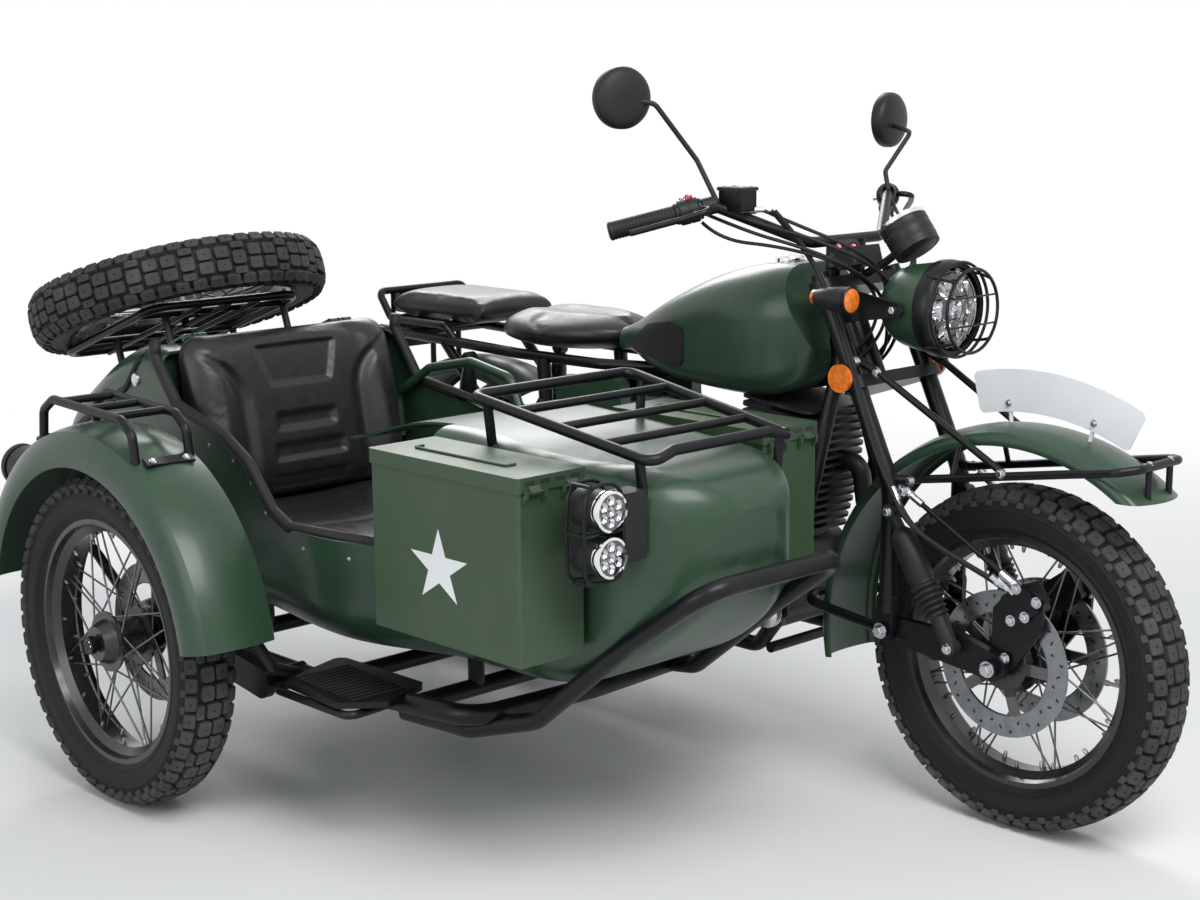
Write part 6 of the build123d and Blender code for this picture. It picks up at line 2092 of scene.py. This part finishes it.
@dataclass
class HullDressing(Assembly):
    """Rubber seal round the trunk lid and the rubber sleeve on the cockpit's edge."""

    seal_radius: float = 0.0075
    sleeve_wall: float = 0.0035

    def seal(self) -> None:
        """Seal along the trunk lid's seam, up both sides of the body."""
        strips = []
        seam = (
            (-1584, 836), (-1606, 808), (-1640, 769), (-1700, 741), (-1770, 709), (-1840, 677),
            (-1900, 649), (-1955, 634),
        )
        for side in (-1, 1):
            line = [on_surface("sidecar_body", car(x, side * 600, z), (0, -side, 0))[0] for x, z in seam]
            strips.append(hose("seal", line, self.seal_radius, 8))
        settle(joined("trunk_seal", strips), Body.MACHINE, RUBBER)

    def sleeve(self) -> None:
        """Sleeve round the cockpit's edge tube, a little larger than the tube."""
        whole = bmesh.new()
        whole.from_mesh(frame["nodes"]["cockpit_coaming"].data)
        bmesh.ops.remove_doubles(whole, verts=whole.verts, dist=0.00002)
        bmesh.ops.recalc_face_normals(whole, faces=whole.faces)
        whole.normal_update()
        shifts = [(vert, vert.normal.copy()) for vert in whole.verts]
        for vert, normal in shifts:
            vert.co += normal * self.sleeve_wall
        mesh = bpy.data.meshes.new("coaming_sleeve")
        whole.to_mesh(mesh)
        whole.free()
        for face in mesh.polygons:
            face.use_smooth = True
        made = bpy.data.objects.new("coaming_sleeve", mesh)
        bpy.context.scene.collection.objects.link(made)
        settle(made, Body.MACHINE, RUBBER)

    def build(self) -> None:
        """Builds the dressing."""
        self.seal()
        self.sleeve()
        log.info("hull dressing")


@dataclass
class StepRibs(Assembly):
    """Raised ribs on the step plate."""

    count: int = 13
    pitch: float = 0.0155
    width: float = 0.006
    length: float = 0.120
    height: float = 0.003

    def build(self) -> None:
        """Builds the ribs."""
        points, faces = block(self.width, self.length, self.height, 0.0012)
        seed = mesh_object("step_plate_ribs", points, faces, smooth=False)
        grown = self.tools.row.grow(seed, count=self.count, pitch=self.pitch, material=RUBBER.material())
        place = Matrix.Translation(car(-926, -340, 306)) @ Matrix.Rotation(radians(-3), 4, "Z")
        settle_grown(grown, Body.MACHINE, place)
        log.info("step ribs")


# ---- Studio ----


@dataclass
class Studio:
    """Floor, lights, world and the camera. Angles are in degrees."""

    camera_place: Triple = (2061, -3066, 1423)
    yaw: float = 46.368
    pitch: float = 10.822
    roll: float = -0.458
    focal_pixels: float = 1984.7
    image_width: float = 1200.0
    sensor: float = 36.0
    sky: Color = (0.86, 0.92, 1.0)
    sky_strength: float = 0.40
    floor_reach: float = 14.0

    def camera(self) -> None:
        """The camera, ahead of the vehicle on the sidecar's side."""
        turn, drop, lean = radians(self.yaw), radians(self.pitch), radians(self.roll)
        back = Vector((sin(turn) * cos(drop), -cos(turn) * cos(drop), sin(drop)))
        right = (-back).cross(Vector((0, 0, 1))).normalized()
        up = right.cross(-back).normalized()
        right, up = right * cos(lean) + up * sin(lean), up * cos(lean) - right * sin(lean)
        data = bpy.data.cameras.new("camera")
        data.sensor_width = self.sensor
        data.lens = self.focal_pixels / self.image_width * self.sensor
        data.clip_end = 50
        holder = bpy.data.objects.new("camera", data)
        bpy.context.scene.collection.objects.link(holder)
        turned = Matrix((right, up, back)).transposed().to_4x4()
        holder.matrix_world = Matrix.Translation(bike(*self.camera_place)) @ turned
        bpy.context.scene.camera = holder

    def lamp(
        self, name: str, place: Sequence[float], target: Sequence[float], size: float, power: float
    ) -> None:
        """A square area light aimed at a point.

        Args:
            name: Its name.
            place: Where it stands.
            target: The point that it faces.
            size: Length of its sides.
            power: Its power in watts.
        """
        data = bpy.data.lights.new(name, "AREA")
        data.size = size
        data.energy = power
        holder = bpy.data.objects.new(name, data)
        holder.matrix_world = facing(Vector(place), Vector(place) - Vector(target))
        bpy.context.scene.collection.objects.link(holder)

    def lights(self) -> None:
        """A large soft key, a fill and a rim light."""
        self.lamp("key", (3.2, -1.2, 4.2), (0, 0, 0.5), 2.6, 190)
        self.lamp("fill", (0.8, -5.2, 2.4), (0, 0, 0.5), 3.0, 70)
        self.lamp("rim", (-3.6, 2.6, 3.6), (0, 0, 0.6), 2.4, 130)

    def world(self) -> None:
        """Soft grey surroundings that show as white behind the object."""
        world = bpy.data.worlds.new("studio")
        bpy.context.scene.world = world
        world.use_nodes = True
        nodes = Nodes(world.node_tree)
        rays = nodes.node("ShaderNodeLightPath", {}, {})
        share = rays.outputs["Is Camera Ray"]
        for kind in ("Is Glossy Ray", "Is Transmission Ray"):
            either = nodes.node("ShaderNodeMath", {"operation": "MAXIMUM"}, {0: share, 1: rays.outputs[kind]})
            share = either.outputs[0]
        seen = nodes.node("ShaderNodeBackground", {}, {"Color": (1, 1, 1)})
        soft = nodes.node("ShaderNodeBackground", {}, {"Color": self.sky, "Strength": self.sky_strength})
        mixed = nodes.node("ShaderNodeMixShader", {}, {0: share, 1: soft.outputs[0], 2: seen.outputs[0]})
        nodes.node("ShaderNodeOutputWorld", {}, {"Surface": mixed.outputs[0]})

    def floor(self) -> None:
        """A pale floor."""
        reach = self.floor_reach
        corners = [(-reach, -reach, 0), (reach, -reach, 0), (reach, reach, 0), (-reach, reach, 0)]
        made = mesh_object("studio_floor", corners, [(0, 1, 2, 3)], smooth=False)
        made.data.materials.append(Floor("studio floor", (0.80, 0.80, 0.79), 0.7).material())

    def build(self) -> None:
        """Builds the studio."""
        self.camera()
        self.lights()
        self.world()
        self.floor()
        bpy.context.scene.view_settings.view_transform = "Standard"


def main() -> None:
    """Builds the scene, sub-assembly by sub-assembly."""
    logging.basicConfig(level=logging.INFO, format="%(message)s")
    Studio().build()
    dress_nodes()
    tools = Toolbox()
    slope = Vector((-sin(SPARE_SLOPE), 0, cos(SPARE_SLOPE)))
    axle = Vector((0, 1, 0))
    Wheel(tools, "front", Body.FRONT_WHEEL, axle).build()
    Wheel(tools, "rear", Body.REAR_WHEEL, axle).build()
    Wheel(tools, "sidecar", Body.SIDECAR_WHEEL, axle).build()
    Wheel(tools, "spare", Body.TRUNK_LID, slope, disc=False).build()
    Seats().build()
    for kind in (
        Suspension, Headlight, SmallLamps, Controls, Cables, Fasteners, BoxDressing, HullDressing, StepRibs
    ):
        kind(tools).build()


if __name__ == "__main__":
    main()
